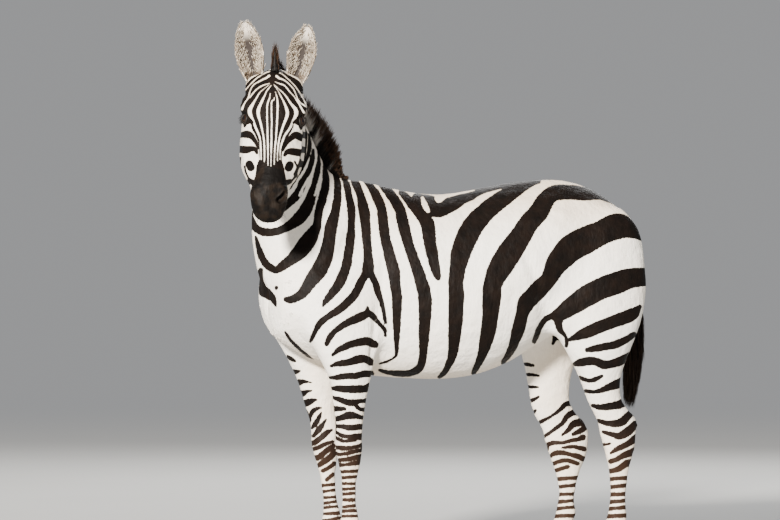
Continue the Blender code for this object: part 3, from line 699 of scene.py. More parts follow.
TRUNK_STROKES = (
    ((-92, 872, 3), (-78, 893, 10), (-60, 915, 13), (-35, 950, 16), (-15, 1000, 15), (-5, 1050, 15),
     (2, 1100, 14),
     (5, 1150, 11), (4, 1200, 12), (-5, 1250, 11), (-12, 1285, 9), (-24, 1306, 5)),
    ((8, 1302, 6), (20, 1285, 12), (34, 1250, 12), (47, 1200, 17), (52, 1150, 16), (57, 1100, 14),
     (61, 1050, 14),
     (62, 1000, 19), (60, 985, 17)),
    ((60, 985, 12), (36, 950, 13), (22, 920, 13), (-2, 890, 13), (-35, 860, 12), (-70, 838, 10),
     (-100, 815, 10),
     (-115, 790, 8), (-127, 765, 6), (-135, 750, 3)),
    ((66, 990, 12), (85, 950, 10), (96, 915, 9), (108, 880, 7), (115, 850, 6), (120, 815, 5)),
    ((60, 868, 2), (58, 850, 8), (45, 838, 13), (15, 825, 13), (-20, 808, 10), (-45, 790, 9), (-65, 770, 9),
     (-80, 742, 6)),
    ((60, 850, 8), (75, 838, 10), (90, 822, 7), (105, 805, 6), (117, 790, 6), (120, 770, 4)),
    ((48, 1299, 5), (68, 1278, 10), (86, 1250, 14), (107, 1200, 15), (113, 1150, 16), (120, 1100, 16),
     (132, 1050, 17),
     (146, 1000, 19), (153, 950, 18), (159, 900, 16), (159, 850, 14), (159, 800, 11), (158, 750, 8),
     (158, 710, 4),
     (150, 696, 2), (128, 684, 1.5), (100, 675, 1)),
    ((108, 1278, 7), (120, 1268, 12), (137, 1250, 15), (168, 1200, 17), (180, 1150, 19), (193, 1100, 17),
     (209, 1050, 17),
     (227, 1000, 18), (243, 950, 20), (254, 900, 22), (254, 850, 20), (252, 800, 18), (250, 750, 15),
     (247, 700, 12),
     (240, 670, 12), (228, 654, 12), (204, 644, 10), (164, 642, 9), (120, 648, 5), (100, 654, 3)),
    ((172, 1256, 6), (190, 1240, 12), (210, 1215, 14), (232, 1190, 16), (258, 1160, 22), (266, 1130, 22),
     (270, 1100, 20), (278, 1050, 19), (289, 1000, 15), (296, 975, 11), (301, 963, 4)),
    ((225, 1238, 14), (265, 1215, 30), (300, 1205, 32), (345, 1222, 28), (380, 1238, 20), (407, 1245, 16),
     (450, 1262, 9), (500, 1275, 8), (560, 1286, 7), (610, 1292, 7), (640, 1296, 6)),
    ((640, 1294, 7), (600, 1281, 14), (540, 1250, 25), (471, 1200, 30), (423, 1150, 34), (395, 1100, 35),
     (376, 1050, 32),
     (365, 1000, 27), (359, 950, 24), (361, 900, 25), (359, 850, 24), (357, 800, 22), (353, 750, 19),
     (346, 700, 14),
     (333, 670, 10), (322, 648, 8), (303, 630, 5)),
    ((895, 1218, 3), (850, 1243, 12), (795, 1251, 22), (740, 1257, 25), (690, 1252, 27), (660, 1225, 30),
     (640, 1190, 33),
     (605, 1150, 33), (574, 1100, 36), (540, 1050, 40), (510, 1000, 38), (485, 950, 31), (480, 900, 30),
     (477, 850, 27),
     (471, 800, 25), (461, 750, 21), (446, 700, 14), (432, 670, 10), (419, 645, 7)),
    ((993, 1093, 3), (965, 1118, 18), (930, 1138, 36), (897, 1139, 44), (850, 1118, 41), (795, 1092, 46),
     (750, 1067, 46),
     (720, 1036, 41), (699, 1012, 36), (686, 984, 31), (670, 957, 26), (643, 930, 30), (620, 907, 29),
     (600, 885, 29),
     (590, 862, 24), (582, 836, 20), (573, 800, 21), (558, 750, 16), (545, 720, 12), (533, 700, 9),
     (518, 678, 5)),
    ((1006, 970, 30), (950, 965, 34), (900, 948, 38), (850, 930, 36), (800, 903, 36), (750, 870, 30),
     (720, 848, 24), (700, 838, 18)),
    ((700, 842, 8), (665, 828, 9), (647, 805, 8), (636, 780, 8), (624, 750, 6)),
    ((704, 830, 13), (709, 800, 10), (716, 785, 7), (730, 770, 5), (735, 752, 5), (733, 735, 4)),
    ((982, 868, 6), (955, 842, 20), (905, 822, 20), (850, 801, 20), (800, 780, 18), (765, 765, 11),
     (745, 758, 5)),
    ((962, 775, 8), (937, 758, 10), (905, 742, 12), (865, 733, 12), (830, 727, 10), (805, 722, 6)),
    ((955, 705, 12), (925, 688, 14), (890, 675, 13), (860, 672, 14), (835, 682, 13), (810, 684, 14),
     (785, 680, 13), (762, 674, 6)),
)
TRUNK_WHITES = (
    ((245, 1238, 5), (250, 1225, 8), (258, 1205, 9), (265, 1192, 6)),
    ((292, 1248, 3), (300, 1232, 11), (315, 1240, 7), (350, 1250, 5), (390, 1258, 4), (420, 1263, 2)),
    # the pale lines between the neck's dark ones, behind the jaw
    ((-142, 1507, 1.5), (-144, 1460, 2.2), (-152, 1413, 2.2), (-163, 1371, 2.2), (-180, 1335, 1.5)),
    ((-130, 1450, 1.5), (-137, 1413, 2.6), (-139, 1371, 3), (-155, 1330, 3.6), (-176, 1298, 4),
     (-202, 1256, 4)),
    ((-124, 1439, 1.5), (-116, 1408, 2.6), (-115, 1371, 3.2), (-128, 1324, 3.6), (-150, 1288, 4),
     (-171, 1246, 4)),
    ((-105, 1398, 1.5), (-97, 1366, 2.8), (-96, 1330, 3.4), (-104, 1293, 4.2), (-119, 1246, 5)),
    ((-82, 1356, 2), (-67, 1330, 4), (-60, 1293, 5), (-64, 1262, 5), (-74, 1236, 5)),
)

# %% strokes of the legs
NEAR_HIND = (
    ((778, 629, 4), (794, 622, 6), (815, 618, 6), (837, 625, 6), (855, 634, 3)),
    ((800, 583, 5), (830, 580, 6), (860, 588, 8), (885, 598, 12), (915, 610, 15), (935, 618, 14)),
    ((822, 533, 5), (845, 528, 9), (875, 530, 12), (905, 534, 13), (930, 545, 14), (945, 556, 10)),
    ((842, 482, 6), (870, 474, 9), (900, 472, 12), (925, 480, 14), (945, 500, 12), (958, 515, 10)),
    ((858, 444, 5), (885, 436, 8), (910, 430, 11), (930, 437, 14), (950, 452, 14), (967, 472, 10)),
    ((856, 400, 4), (883, 404, 3)),
    ((885, 372, 4), (905, 385, 8), (930, 397, 10), (955, 412, 11), (975, 430, 10)),
    ((884, 343, 8), (905, 350, 9), (926, 363, 10), (948, 371, 12), (969, 382, 10)),
    ((884, 311, 8), (905, 316, 9), (923, 326, 10), (941, 338, 12), (969, 336, 14)),
)
FAR_HIND = (
    ((587, 675, 3), (605, 672, 4), (621, 669, 2)), ((596, 639, 3), (620, 637, 4), (640, 634, 2)),
    ((602, 597, 3), (622, 596, 4), (638, 595, 2)),
    ((600, 543, 6), (622, 553, 5), (640, 563, 2)), ((615, 504, 7), (630, 517, 4)),
    ((637, 472, 6), (662, 486, 5), (687, 500, 5), (708, 515, 6), (730, 536, 8), (748, 541, 9),
     (765, 540, 9)),
    ((653, 425, 5), (676, 440, 6), (701, 458, 7), (722, 475, 8), (737, 497, 9), (755, 508, 10),
     (772, 511, 10)),
    ((719, 433, 3), (737, 447, 7), (755, 468, 11), (772, 475, 13), (790, 479, 14)),
    ((758, 436, 6), (780, 447, 9), (794, 457, 10)),
    ((667, 386, 8), (672, 400, 8), (694, 407, 7), (722, 407, 6), (751, 415, 6), (772, 418, 7),
     (790, 425, 10)),
    ((722, 391, 4), (758, 393, 6), (794, 386, 8)),
    ((679, 361, 6), (697, 372, 8), (719, 373, 8), (744, 368, 6), (772, 361, 9), (790, 352, 9)),
    ((690, 336, 6), (708, 343, 6), (737, 347, 7), (772, 336, 7)),
    ((694, 311, 6), (715, 318, 6), (740, 325, 6)),
)
NEAR_FORE = (
    ((-59, 705, 4), (-40, 721, 8), (-17, 733, 10), (7, 742, 11), (35, 749, 12), (56, 751, 13), (76, 744, 12),
     (85, 740, 11)),
    ((-62, 668, 4), (-40, 675, 8), (-17, 678, 10), (7, 684, 12), (28, 690, 13), (49, 691, 12), (65, 684, 12),
     (71, 675, 6)),
    ((-75, 628, 1.5), (-54, 628, 6), (-29, 631, 9), (0, 634, 10), (24, 635, 10), (49, 641, 11),
     (71, 641, 9)),
    ((-67, 590, 3), (-42, 591, 9), (-18, 589, 11), (7, 589, 12), (31, 589, 12), (53, 591, 12),
     (69, 600, 11)),
    ((-61, 562, 3), (-40, 555, 7), (-18, 547, 9), (0, 543, 11), (14, 543, 10), (31, 547, 6.5),
     (49, 549, 6.5), (64, 553, 8)),
    ((14, 541, 6), (28, 525, 6), (42, 519, 6.5), (60, 521, 6)),
    ((-53, 522, 9), (-36, 522, 8), (-20, 522, 5), (-14, 522, 2)),
    ((-52, 487, 8), (-26, 493, 10), (-6, 500, 13), (14, 499, 11), (35, 494, 7), (54, 491, 6)),
    ((-45, 463, 5), (-26, 462, 8), (-8, 458, 9), (10, 458, 10), (31, 461, 9), (52, 463, 8)),
    ((-51, 444, 5), (-26, 431, 7), (-6, 428, 6), (17, 427, 11), (49, 428, 9)),
    ((-51, 427, 5), (-36, 418, 6), (-18, 412, 5), (0, 415, 6), (17, 419, 8)),
    ((-53, 393, 6), (-26, 388, 8), (0, 390, 6.5), (23, 394, 6.5), (49, 400, 7)),
    ((-53, 371, 7), (-36, 368, 5), (-11, 370, 6), (13, 377, 7), (46, 384, 6)),
    ((-36, 348, 6), (-11, 350, 7), (13, 355, 8), (46, 364, 7)),
    ((-43, 332, 9), (-18, 332, 5), (7, 336, 7), (46, 343, 8)),
    # a dark strip down the forearm's front edge: partly its black hair, partly painted shade where the leg
    # turns away
    ((-72, 543, 5), (-64, 520, 8), (-60, 490, 9), (-56, 464, 9), (-52, 445, 6)),
)
FAR_FORE = (
    ((-215, 709, 6), (-204, 696, 7), (-186, 684, 3)), ((-201, 651, 8), (-188, 647, 7), (-170, 651, 2)),
    ((-187, 613, 7), (-175, 611, 9), (-160, 615, 6), (-145, 614, 3), (-131, 611, 1)),
    ((-173, 576, 9), (-162, 573, 10), (-147, 580, 6), (-130, 583, 2)),
    ((-164, 546, 5), (-150, 541, 11), (-138, 546, 11), (-122, 552, 5), (-112, 553, 1)),
    ((-150, 512, 7), (-147, 505, 6)),
    ((-134, 497, 5), (-128, 512, 8), (-116, 521, 6), (-98, 526, 2)),
    ((-143, 470, 5), (-138, 483, 6), (-136, 495, 4)),
    ((-129, 457, 4), (-119, 470, 8), (-108, 487, 8), (-97, 510, 2)), ((-140, 451, 4), (-140, 449, 4)),
    ((-124, 430, 6), (-110, 447, 9), (-96, 464, 8), (-82, 486, 3)),
    ((-129, 404, 7), (-115, 411, 9), (-93, 428, 9), (-76, 443, 8), (-62, 450, 4)),
    ((-129, 384, 6), (-108, 390, 7), (-90, 400, 7), (-58, 411, 5)),
    ((-127, 357, 6), (-108, 357, 9), (-86, 375, 9), (-58, 396, 8)),
    ((-108, 329, 7), (-93, 339, 9), (-72, 354, 10), (-52, 375, 10)),
    ((-93, 311, 6), (-72, 322, 7), (-54, 336, 7)),
    ((-79, 282, 6), (-58, 300, 6)),
)


RING_REACH, RING_LOW = 75, 84   # how far a band runs to each side, and where the lowest ends


def rings(middle, top, step, half, slope):
    """The even bands of a lower leg, from top down, a step apart, each with its own small lean."""
    made = []
    for i, height in enumerate(np.arange(top, RING_LOW, -step)):
        lean = slope + 3.5 * math.sin(2.3 * i)
        bow = 2.5 * math.sin(1.7 * i + 1)
        thick = half * (1 + 0.25 * math.sin(3.1 * i))
        made.append(((middle - RING_REACH, height - lean, thick), (middle, height + bow, thick * 0.85),
                     (middle + RING_REACH, height + lean, thick)))
    return tuple(made)


NEAR_FORE += rings(0, 308, 19, 5.6, 3)
FAR_FORE += rings(-68, 262, 19, 5.6, 8)
NEAR_HIND += rings(915, 284, 25, 7.6, 6)
FAR_HIND += rings(735, 284, 25, 6.8, 6)

# %% strokes of the face
FACE_FIELD = (
    # height, then the dark field's left and right edge
    (1680, -282, -246), (1668, -282, -246), (1661, -300, -222), (1652, -318, -203), (1643, -333, -184),
    (1630, -347, -168),
    (1615, -357, -160), (1599, -366, -156), (1582, -374, -152), (1561, -380, -152), (1540, -386, -147),
    (1528, -388, -146),
    (1520, -378, -150), (1505, -346, -181), (1488, -338, -191), (1480, -332, -190), (1460, -330, -200),
    (1440, -319, -212),
    (1420, -315, -224), (1400, -313, -230), (1368, -309, -231), (1345, -318, -224), (1300, -322, -216),
)
FACE_DARKS = (
    ((-372, 1450, 8), (-350, 1453, 12), (-335, 1447, 10), (-325, 1435, 7), (-316, 1420, 5),
     (-311, 1405, 3)),
    ((-372, 1402, 12), (-350, 1401, 12), (-335, 1404, 9), (-322, 1402, 7), (-316, 1390, 4)),
    ((-341, 1351, 13), (-336, 1341, 13)), ((-341, 1299, 6), (-328, 1288, 9)),
    ((-273, 1674, 2), (-290, 1666, 2), (-305, 1656, 2), (-319, 1647, 2), (-331, 1636, 1.5)),
    ((-240, 1670, 2), (-225, 1663, 2), (-211, 1651, 2.2), (-197, 1639, 2.2), (-183, 1625, 2),
     (-172, 1606, 1.5)),
    ((-368, 1500, 7), (-354, 1500, 13), (-342, 1496, 7)),
    ((-152, 1496, 7), (-168, 1495, 12), (-180, 1492, 6)),
    ((-371, 1375, 2), (-372, 1350, 2), (-367, 1320, 2), (-355, 1300, 2), (-340, 1285, 2)),
    ((-357, 1345, 2.5), (-353, 1325, 2.5), (-343, 1302, 2.5)),
    ((-331, 1493, 3), (-330, 1475, 2.5), (-320, 1455, 2.5), (-308, 1430, 2.5)),
    ((-165, 1440, 10), (-175, 1447, 12), (-187, 1450, 11), (-200, 1440, 9), (-212, 1430, 8), (-222, 1415, 7),
     (-229, 1400, 5)),
    ((-165, 1390, 12), (-185, 1393, 12), (-200, 1395, 11), (-213, 1393, 8), (-221, 1383, 5)),
    ((-204, 1349, 13), (-208, 1340, 13)), ((-203, 1294, 7), (-215, 1289, 9)),
    ((-187, 1360, 2.5), (-178, 1340, 2.5), (-183, 1315, 2.5), (-200, 1292, 2.5)),
    ((-378, 1515, 4), (-372, 1523, 4), (-355, 1520, 4), (-340, 1505, 4), (-331, 1493, 4)),
    ((-190, 1493, 4), (-186, 1497, 4), (-170, 1510, 4), (-150, 1518, 4), (-143, 1515, 4)),
    # two dark strokes down the cheek where it turns away from the camera: partly its stripes, partly painted
    # shade of that side
    ((-153, 1500, 5), (-152, 1470, 8), (-154, 1430, 8), (-158, 1390, 8), (-168, 1350, 8), (-185, 1318, 6)),
    ((-134, 1490, 6), (-133, 1450, 8), (-134, 1410, 9), (-142, 1365, 9), (-156, 1335, 7)),
)
FACE_WHITES = (
    ((-256, 1578, 1.2), (-258, 1570, 2), (-265, 1564, 2.5), (-266, 1547, 2.2), (-266, 1521, 2.5),
     (-265, 1493, 2.8), (-266, 1465, 2.8),
     (-266, 1437, 3), (-267, 1400, 3), (-268, 1346, 1.5)),
    ((-270, 1591, 1.8), (-272, 1578, 2.5), (-276, 1567, 2.8), (-280, 1553, 3), (-281, 1536, 3.1),
     (-281, 1507, 3.1), (-280, 1479, 3),
     (-279, 1437, 3.1), (-278, 1400, 3), (-278, 1348, 1.5)),
    ((-266, 1620, 1), (-275, 1609, 1.5), (-283, 1598, 2), (-289, 1584, 2.8), (-296, 1570, 4),
     (-303, 1555, 5.5), (-309, 1541, 7),
     (-311, 1530, 7.5), (-310, 1516, 6.5), (-305, 1499, 4.5), (-300, 1479, 4), (-296, 1459, 3.2),
     (-292, 1437, 3), (-290, 1400, 3), (-290, 1360, 2)),
    ((-272, 1622, 1), (-290, 1608, 1.4), (-305, 1595, 1.9), (-316, 1578, 2.8), (-326, 1561, 4.5),
     (-334, 1547, 7), (-339, 1536, 8.5),
     (-339, 1525, 9), (-334, 1510, 6.5), (-327, 1496, 5), (-320, 1476, 4.2), (-312, 1459, 3.6),
     (-305, 1437, 3.2), (-302, 1400, 3), (-301, 1368, 2)),
    ((-333, 1480, 2.5), (-329, 1462, 3.4), (-318, 1442, 4), (-312, 1420, 3), (-310, 1400, 2.2),
     (-307, 1368, 1.5)),
    ((-253, 1596, 1.5), (-249, 1584, 2.2), (-246, 1570, 3.2), (-245, 1547, 4.2), (-246, 1524, 4.2),
     (-247, 1502, 3.8), (-248, 1479, 3.6),
     (-250, 1457, 3.4), (-251, 1437, 3.4), (-255, 1400, 3), (-257, 1350, 1.5)),
    ((-257, 1619, 1), (-245, 1603, 1.5), (-237, 1587, 2.2), (-228, 1570, 3), (-220, 1553, 4.5),
     (-214, 1536, 6.5), (-212, 1522, 7.5),
     (-217, 1505, 6), (-224, 1488, 4.5), (-231, 1468, 3.6), (-237, 1448, 3.4), (-240, 1435, 3.2),
     (-245, 1400, 2.8), (-246, 1363, 1.5)),
    ((-259, 1623, 1.1), (-248, 1613, 1.5), (-237, 1603, 1.8), (-225, 1592, 2.2), (-214, 1578, 3.2),
     (-203, 1561, 4), (-192, 1547, 6),
     (-184, 1536, 8), (-182, 1524, 9), (-187, 1510, 7), (-194, 1496, 5.5), (-201, 1479, 5.2),
     (-210, 1465, 4.6), (-220, 1451, 4.2),
     (-226, 1437, 4), (-232, 1420, 3.2), (-236, 1400, 2.8), (-237, 1368, 1.5)),
    ((-271, 1626, 1.4), (-285, 1622, 2.2), (-299, 1617, 2.7), (-310, 1610, 2.6), (-321, 1601, 2.3),
     (-330, 1590, 2.2), (-340, 1577, 2.3)),
    ((-274, 1651, 5.5), (-282, 1645, 4.5), (-293, 1640, 3.8), (-310, 1631, 2.7), (-326, 1621, 2.4),
     (-336, 1606, 2.2), (-341, 1592, 2.4),
     (-344, 1578, 2.8), (-352, 1566, 2.6), (-360, 1553, 3), (-366, 1538, 4.5)),
    ((-273, 1666, 2.2), (-287, 1661, 2.2), (-302, 1652, 2), (-316, 1643, 2.2), (-330, 1630, 2.4),
     (-344, 1615, 2.2), (-358, 1599, 2.2),
     (-370, 1582, 2.3), (-378, 1561, 2.5)),
    ((-254, 1631, 1.4), (-240, 1625, 2.4), (-225, 1620, 2.8), (-214, 1610, 2.6), (-203, 1596, 2.4),
     (-192, 1584, 2.4), (-183, 1572, 2.6),
     (-172, 1555, 3), (-163, 1538, 3.6), (-156, 1527, 5)),
    ((-249, 1650, 5), (-240, 1643, 4.4), (-228, 1639, 3), (-214, 1630, 2.6), (-200, 1617, 2.4),
     (-189, 1602, 2.4), (-183, 1587, 2.4),
     (-177, 1572, 2.4), (-169, 1561, 2.4), (-158, 1553, 2.2), (-150, 1547, 2)),
    ((-245, 1665, 2.5), (-228, 1656, 2.5), (-214, 1644, 2.4), (-200, 1631, 2.2), (-186, 1616, 2),
     (-173, 1598, 2), (-160, 1578, 2), (-150, 1555, 2.2)),
)
PALE_SHARE = 0.68               # the pale lines are laid on this much narrower than they are noted
FACE_WHITES = tuple(tuple((u, z, half * PALE_SHARE) for u, z, half in stroke) for stroke in FACE_WHITES)
TABLES = (NECK_STROKES, TRUNK_STROKES, NEAR_FORE, FAR_FORE, NEAR_HIND, FAR_HIND, FACE_DARKS, FACE_WHITES)
print("strokes:", sum(len(table) for table in TABLES))

# %% [markdown]
# ## From strokes to the skin
#
# A stroke is laid on the animal as a slide is thrown on a screen, from the side it was drawn from. The
# side that the slide doesn't reach takes the same strokes mirrored: flank for flank, the neck through its
# own bent middle, and for a leg the other leg's matching face, moved by how far the two stand apart.
# The cheek that turns away from the slide gets even bands of its own.

# %% distance to the strokes
FAR_OUT = -0.030                # the field's value far from any stroke
SPREAD = 0.0022                 # every dark stroke is widened by this, but by less in three places
LESS_ON_NECK, LESS_ON_RUMP, LESS_ON_LEGS = 0.0016, 0.0011, 0.0010
FACE_SPREAD = 0.0012            # the same for the face's dark strokes
RIDGE_HALF = 0.010              # the dark line along the back
LEG_TOP = 0.745                 # the legs' own strokes are worked out below this height
LEG_FADE = (0.735, 0.690)       # and come in between these two
BAND_HALF, BAND_STEP, BAND_SLOPE = 0.0115, 0.050, 0.25      # the turned cheek's bands
BAND_FROM = (0.16, 1.3765)      # where they are counted from, across and up
DOCK_BACK, DOCK_HALF, DOCK_LOW, DOCK_HIGH = 0.985, 0.045, 0.72, 1.10       # the banded part of the tail
DOCK_BAND_HALF, DOCK_BAND_STEP = 0.008, 0.045


def slide(points):
    """Where points fall on the side view, in metres across and up."""
    right, near = points @ RIGHT, points @ NEAR
    grow = VIEW_FAR / (VIEW_FAR - near)
    return VIEW_MIDDLE + (right - VIEW_MIDDLE) * grow, VIEW_HEIGHT - (VIEW_HEIGHT - points[:, 2]) * grow


def stroke_edge(u, z, stroke):
    """How far inside a stroke's edge each place is; far outside it is a large minus."""
    line = flowing(np.array(stroke) / 1000, 5)
    inside = np.full(len(u), -1.0)
    margin = line[:, 2].max() + 0.03
    close = np.flatnonzero((u > line[:, 0].min() - margin) & (u < line[:, 0].max() + margin)
                           & (z > line[:, 1].min() - margin) & (z < line[:, 1].max() + margin))
    if not len(close):
        return inside
    here = np.stack((u[close], z[close]), axis=1)
    best = np.full(len(close), -1.0)
    for (x1, z1, half1), (x2, z2, half2) in zip(line, line[1:]):
        run = np.array((x2 - x1, z2 - z1))
        share = np.clip((here - (x1, z1)) @ run / max(run @ run, 1e-12), 0, 1)
        gap = np.hypot(here[:, 0] - x1 - share * run[0], here[:, 1] - z1 - share * run[1])
        best = np.maximum(best, half1 + (half2 - half1) * share - gap)
    inside[close] = best
    return inside


def painted(points, darks, whites=()):
    """The stripes' field on points: above 0 in the dark, in metres from the edge."""
    u, z = slide(points)
    field = np.full(len(points), FAR_OUT)
    for stroke in darks:
        field = np.maximum(field, stroke_edge(u, z, stroke))
    spread = SPREAD - LESS_ON_NECK * smooth(-u, 0.02, 0.08) * smooth(z, 1.20, 1.28)
    spread -= LESS_ON_RUMP * smooth(u, 0.50, 0.60) * smooth(z, 0.80, 0.95)
    spread -= LESS_ON_LEGS * smooth(-z, -0.60, -0.50)
    field += spread
    for stroke in whites:
        field = np.minimum(field, -stroke_edge(u, z, stroke))
    return np.clip(field, FAR_OUT, -FAR_OUT)


NECK_SECTIONS = (
    # crest x, y, z and throat x, y, z
    (0.040, 0.0, 1.296, -0.296, 0.0, 0.910),
    (-0.040, -0.002, 1.314, -0.340, -0.004, 1.060),
    (-0.089, -0.016, 1.346, -0.350, -0.026, 1.195),
    (-0.143, -0.044, 1.424, -0.343, -0.056, 1.300),
    (-0.198, -0.088, 1.504, -0.350, -0.086, 1.375),
    (-0.272, -0.128, 1.576, -0.340, -0.122, 1.430),
    (-0.326, -0.188, 1.620, -0.338, -0.168, 1.470),
)


def neck_mirror(points, facing):
    """Points and their facing reflected through the middle of the bent neck."""
    rows = flowing(NECK_SECTIONS, 3)
    crest, throat = rows[:, :3], rows[:, 3:]
    middle = (crest + throat) / 2
    ahead = unit(np.gradient(middle, axis=0))
    side = unit(np.cross(ahead, crest - throat))
    away = points[:, None, :] - middle[None]
    run = np.einsum("nsk,sk->ns", away, ahead)
    far = np.linalg.norm(away, axis=2)
    weight = np.exp(-(run / 0.035) ** 2 - (far / 0.25) ** 2) + 1e-12
    weight /= weight.sum(1, keepdims=True)
    normal = unit(weight @ side)
    centre = weight @ middle
    across = ((points - centre) * normal).sum(1)
    turned = (facing * normal).sum(1)
    return points - 2 * across[:, None] * normal, facing - 2 * turned[:, None] * normal


def body_field(points, facing):
    """The stripes of everything but the head, on both sides."""
    x, y, z = points.T
    seen = facing @ NEAR
    trunk = NECK_STROKES + TRUNK_STROKES + NEAR_FORE[:4] + NEAR_HIND[:1]
    flipped = points * (1, -1, 1)
    neck_part = smooth(-x, 0.0, 0.10) * smooth(z, 0.98, 1.10)
    bent, _ = neck_mirror(points, facing)
    flipped = flipped + neck_part[:, None] * (bent - flipped)
    direct = painted(points, trunk, TRUNK_WHITES)
    mirrored = painted(flipped, trunk, TRUNK_WHITES)
    by_side = smooth(-y, -0.012, 0.012)
    by_sight = smooth(seen, -0.10, 0.14)
    front = smooth(-x, 0.10, 0.20)
    share = by_side + front * (by_sight - by_side)
    field = mirrored + share * (direct - mirrored)
    ridge = RIDGE_HALF - np.abs(y) - 0.02 * (1 - smooth(facing[:, 2], 0.5, 0.8))
    ridge -= 0.02 * (1 - smooth(x, 0.02, 0.08))
    field = np.maximum(field, ridge)

    shift, drop = far_shift(points)
    across = np.stack((np.sign(-y) * shift, -2 * y, np.sign(-y) * drop), axis=1)
    other = points + across
    leg = (z < LEG_TOP) & ((x < 0.10) | (x > 0.58)) & (np.abs(y) > 0.02)
    left = y < 0
    parts = []
    pairs = ((NEAR_FORE, FAR_FORE, -9, 0.35), (NEAR_HIND, FAR_HIND, 0.35, 9))
    for darks_left, darks_right, low, high in pairs:
        here = leg & (x > low) & (x < high)
        for is_left in (True, False):
            use = np.flatnonzero(here & (left == is_left))
            near_darks = trunk + darks_left
            on_view = painted(points[use], near_darks if is_left else darks_right)
            off_view = painted(other[use], darks_right if is_left else near_darks)
            inner = smooth(seen[use], -0.18, 0.18)
            parts.append((use, off_view + inner * (on_view - off_view)))
    down = smooth(-z, -LEG_FADE[0], -LEG_FADE[1])
    for use, value in parts:
        field[use] += down[use] * (value - field[use])
    return field


def face_field(points, facing):
    """The field on the head: pale lines in a dark shape, dark strokes round it, bands where it turns away."""
    u, z = slide(points)
    rows = np.array(FACE_FIELD[::-1]) / 1000
    left_edge, right_edge = (np.interp(z, rows[:, 0], rows[:, i]) for i in (1, 2))
    field = np.minimum(u - left_edge, right_edge - u)
    field = np.minimum(field, 1.672 - z)
    for stroke in FACE_WHITES:
        field = np.minimum(field, -stroke_edge(u, z, stroke))
    for stroke in FACE_DARKS:
        field = np.maximum(field, FACE_SPREAD + stroke_edge(u, z, stroke))
    place = z + BAND_SLOPE * (u + BAND_FROM[0]) - BAND_FROM[1]
    bands = BAND_HALF - np.abs(place % BAND_STEP - BAND_STEP / 2)
    aside = smooth(-(facing @ NEAR), -0.34, -0.16) * smooth(u, -0.19, -0.16)
    field += aside * (bands - field)
    return np.clip(field, FAR_OUT, -FAR_OUT)


def muzzle_share(points):
    """1 on the dark muzzle, 0 on the striped face."""
    along, out, left = head_places(points)
    wide = np.maximum(np.abs(left) - 0.040, 0.0)
    edge = 0.374 + 2.3 * wide + 0.35 * np.maximum(-out - 0.09, 0)
    return smooth(along - edge, -0.006, 0.008) * on_head_part(points)


def markings(world_points, facing):
    """Everything the coat's paint needs at points: stripes, warmth with painted shade between the legs,
    brown, and the muzzle's dark skin, which also rings the eyes, partly as painted shade.
    """
    points = world_points - WITHERS
    x, y, z = points.T
    head = on_head_part(world_points)
    field = body_field(points, facing)
    face = face_field(points, facing)
    field += head * (face - field)
    dock = (x > DOCK_BACK) & (z < DOCK_HIGH) & (z > DOCK_LOW) & (np.abs(y) < DOCK_HALF)
    bars = DOCK_BAND_HALF - np.abs((z + 0.15 * np.abs(y)) % DOCK_BAND_STEP - DOCK_BAND_STEP / 2)
    field = np.where(dock, bars, field)
    warmth_and_shade = 0.12 + 0.60 * smooth(z, 1.05, 1.27) * (1 - head) * smooth(x, -0.20, 0.10)
    warmth_and_shade += 0.45 * smooth(-z, -0.62, -0.30)
    # painted shade: near the midline, between the legs under the belly, the cream deepens where the belly's
    # shadow falls; in part the inner thighs' own darker tone
    warmth_and_shade += 0.45 * gauss(y, 0.13) * smooth(-z, -0.80, -0.64) * smooth(z, 0.42, 0.52)
    warmth_and_shade += head * (0.22 + 0.30 * smooth(z, 1.48, 1.62))
    russet = 0.85 * smooth(-z, -0.52, -0.25) + 0.08
    # a ring of dark bare skin round each eye, drawn wide enough to hold the painted shade of the lashes and
    # the brow too
    eye_ring_and_shade = np.zeros(len(points))
    for side in SIDE_FACES:
        middle, _, inner, upper = eye_axes(side)
        away = world_points - middle
        across = (away @ inner - 0.003) / (LID_LONG + 0.0085)
        ring = np.hypot(across, (away @ upper - 0.001) / (LID_UP + 0.0060))
        eye_ring_and_shade = np.maximum(eye_ring_and_shade, smooth(-ring, -1.08, -0.95) * (np.linalg.norm(away, axis=1) < 0.034))
    muzzle = np.maximum(muzzle_share(world_points), eye_ring_and_shade)
    return {"stripe": field, "loose": 1.0 - 0.62 * head, "warmth_and_shade": warmth_and_shade, "russet": russet, "muzzle": muzzle}


def write_marks(mesh, marks):
    for name, values in marks.items():
        layer = mesh.attributes.get(name) or mesh.attributes.new(name, "FLOAT", "POINT")
        layer.data.foreach_set("value", np.asarray(values, np.float32))


STRIPE_CUTS = (3400, 1000)      # how many faces each round may cut
EDGE_NEAR = 0.004               # only what happens this near a stripe's edge shows
LEAST_MISS = 0.0008             # a face that misses the edge by less is left whole


def finer_stripes(piece, most):
    """Cuts the faces whose edges miss what the stripes do halfway, the worst first."""
    mesh = piece.data
    places, outward, pairs = corners(mesh), normals(mesh), links(mesh)
    field = markings(places, outward)["stripe"]
    first, second = pairs.T
    halfway = markings((places[first] + places[second]) / 2, unit(outward[first] + outward[second]))["stripe"]
    read = (field[first] + field[second]) / 2
    close = np.minimum(np.abs(halfway), np.abs(read)) < EDGE_NEAR
    miss = np.abs(halfway - read) * (close | (halfway * read < 0))
    edges = read_all(mesh.loops, "edge_index", kind=np.int32)
    starts = read_all(mesh.polygons, "loop_start", kind=np.int32)
    worst = np.maximum.reduceat(miss[edges], starts)
    level = max(LEAST_MISS, np.sort(worst)[-min(most, len(worst))])
    chosen = worst > level
    refine(piece, lambda centres, facing: chosen)
    print("cut", chosen.sum(), "faces that missed by", round(level * 1000, 2), "mm or more")


for most in STRIPE_CUTS:
    finer_stripes(skin, most)
print("skin", triangle_count(skin), "triangles")
write_marks(skin.data, markings(corners(skin.data), normals(skin.data)))
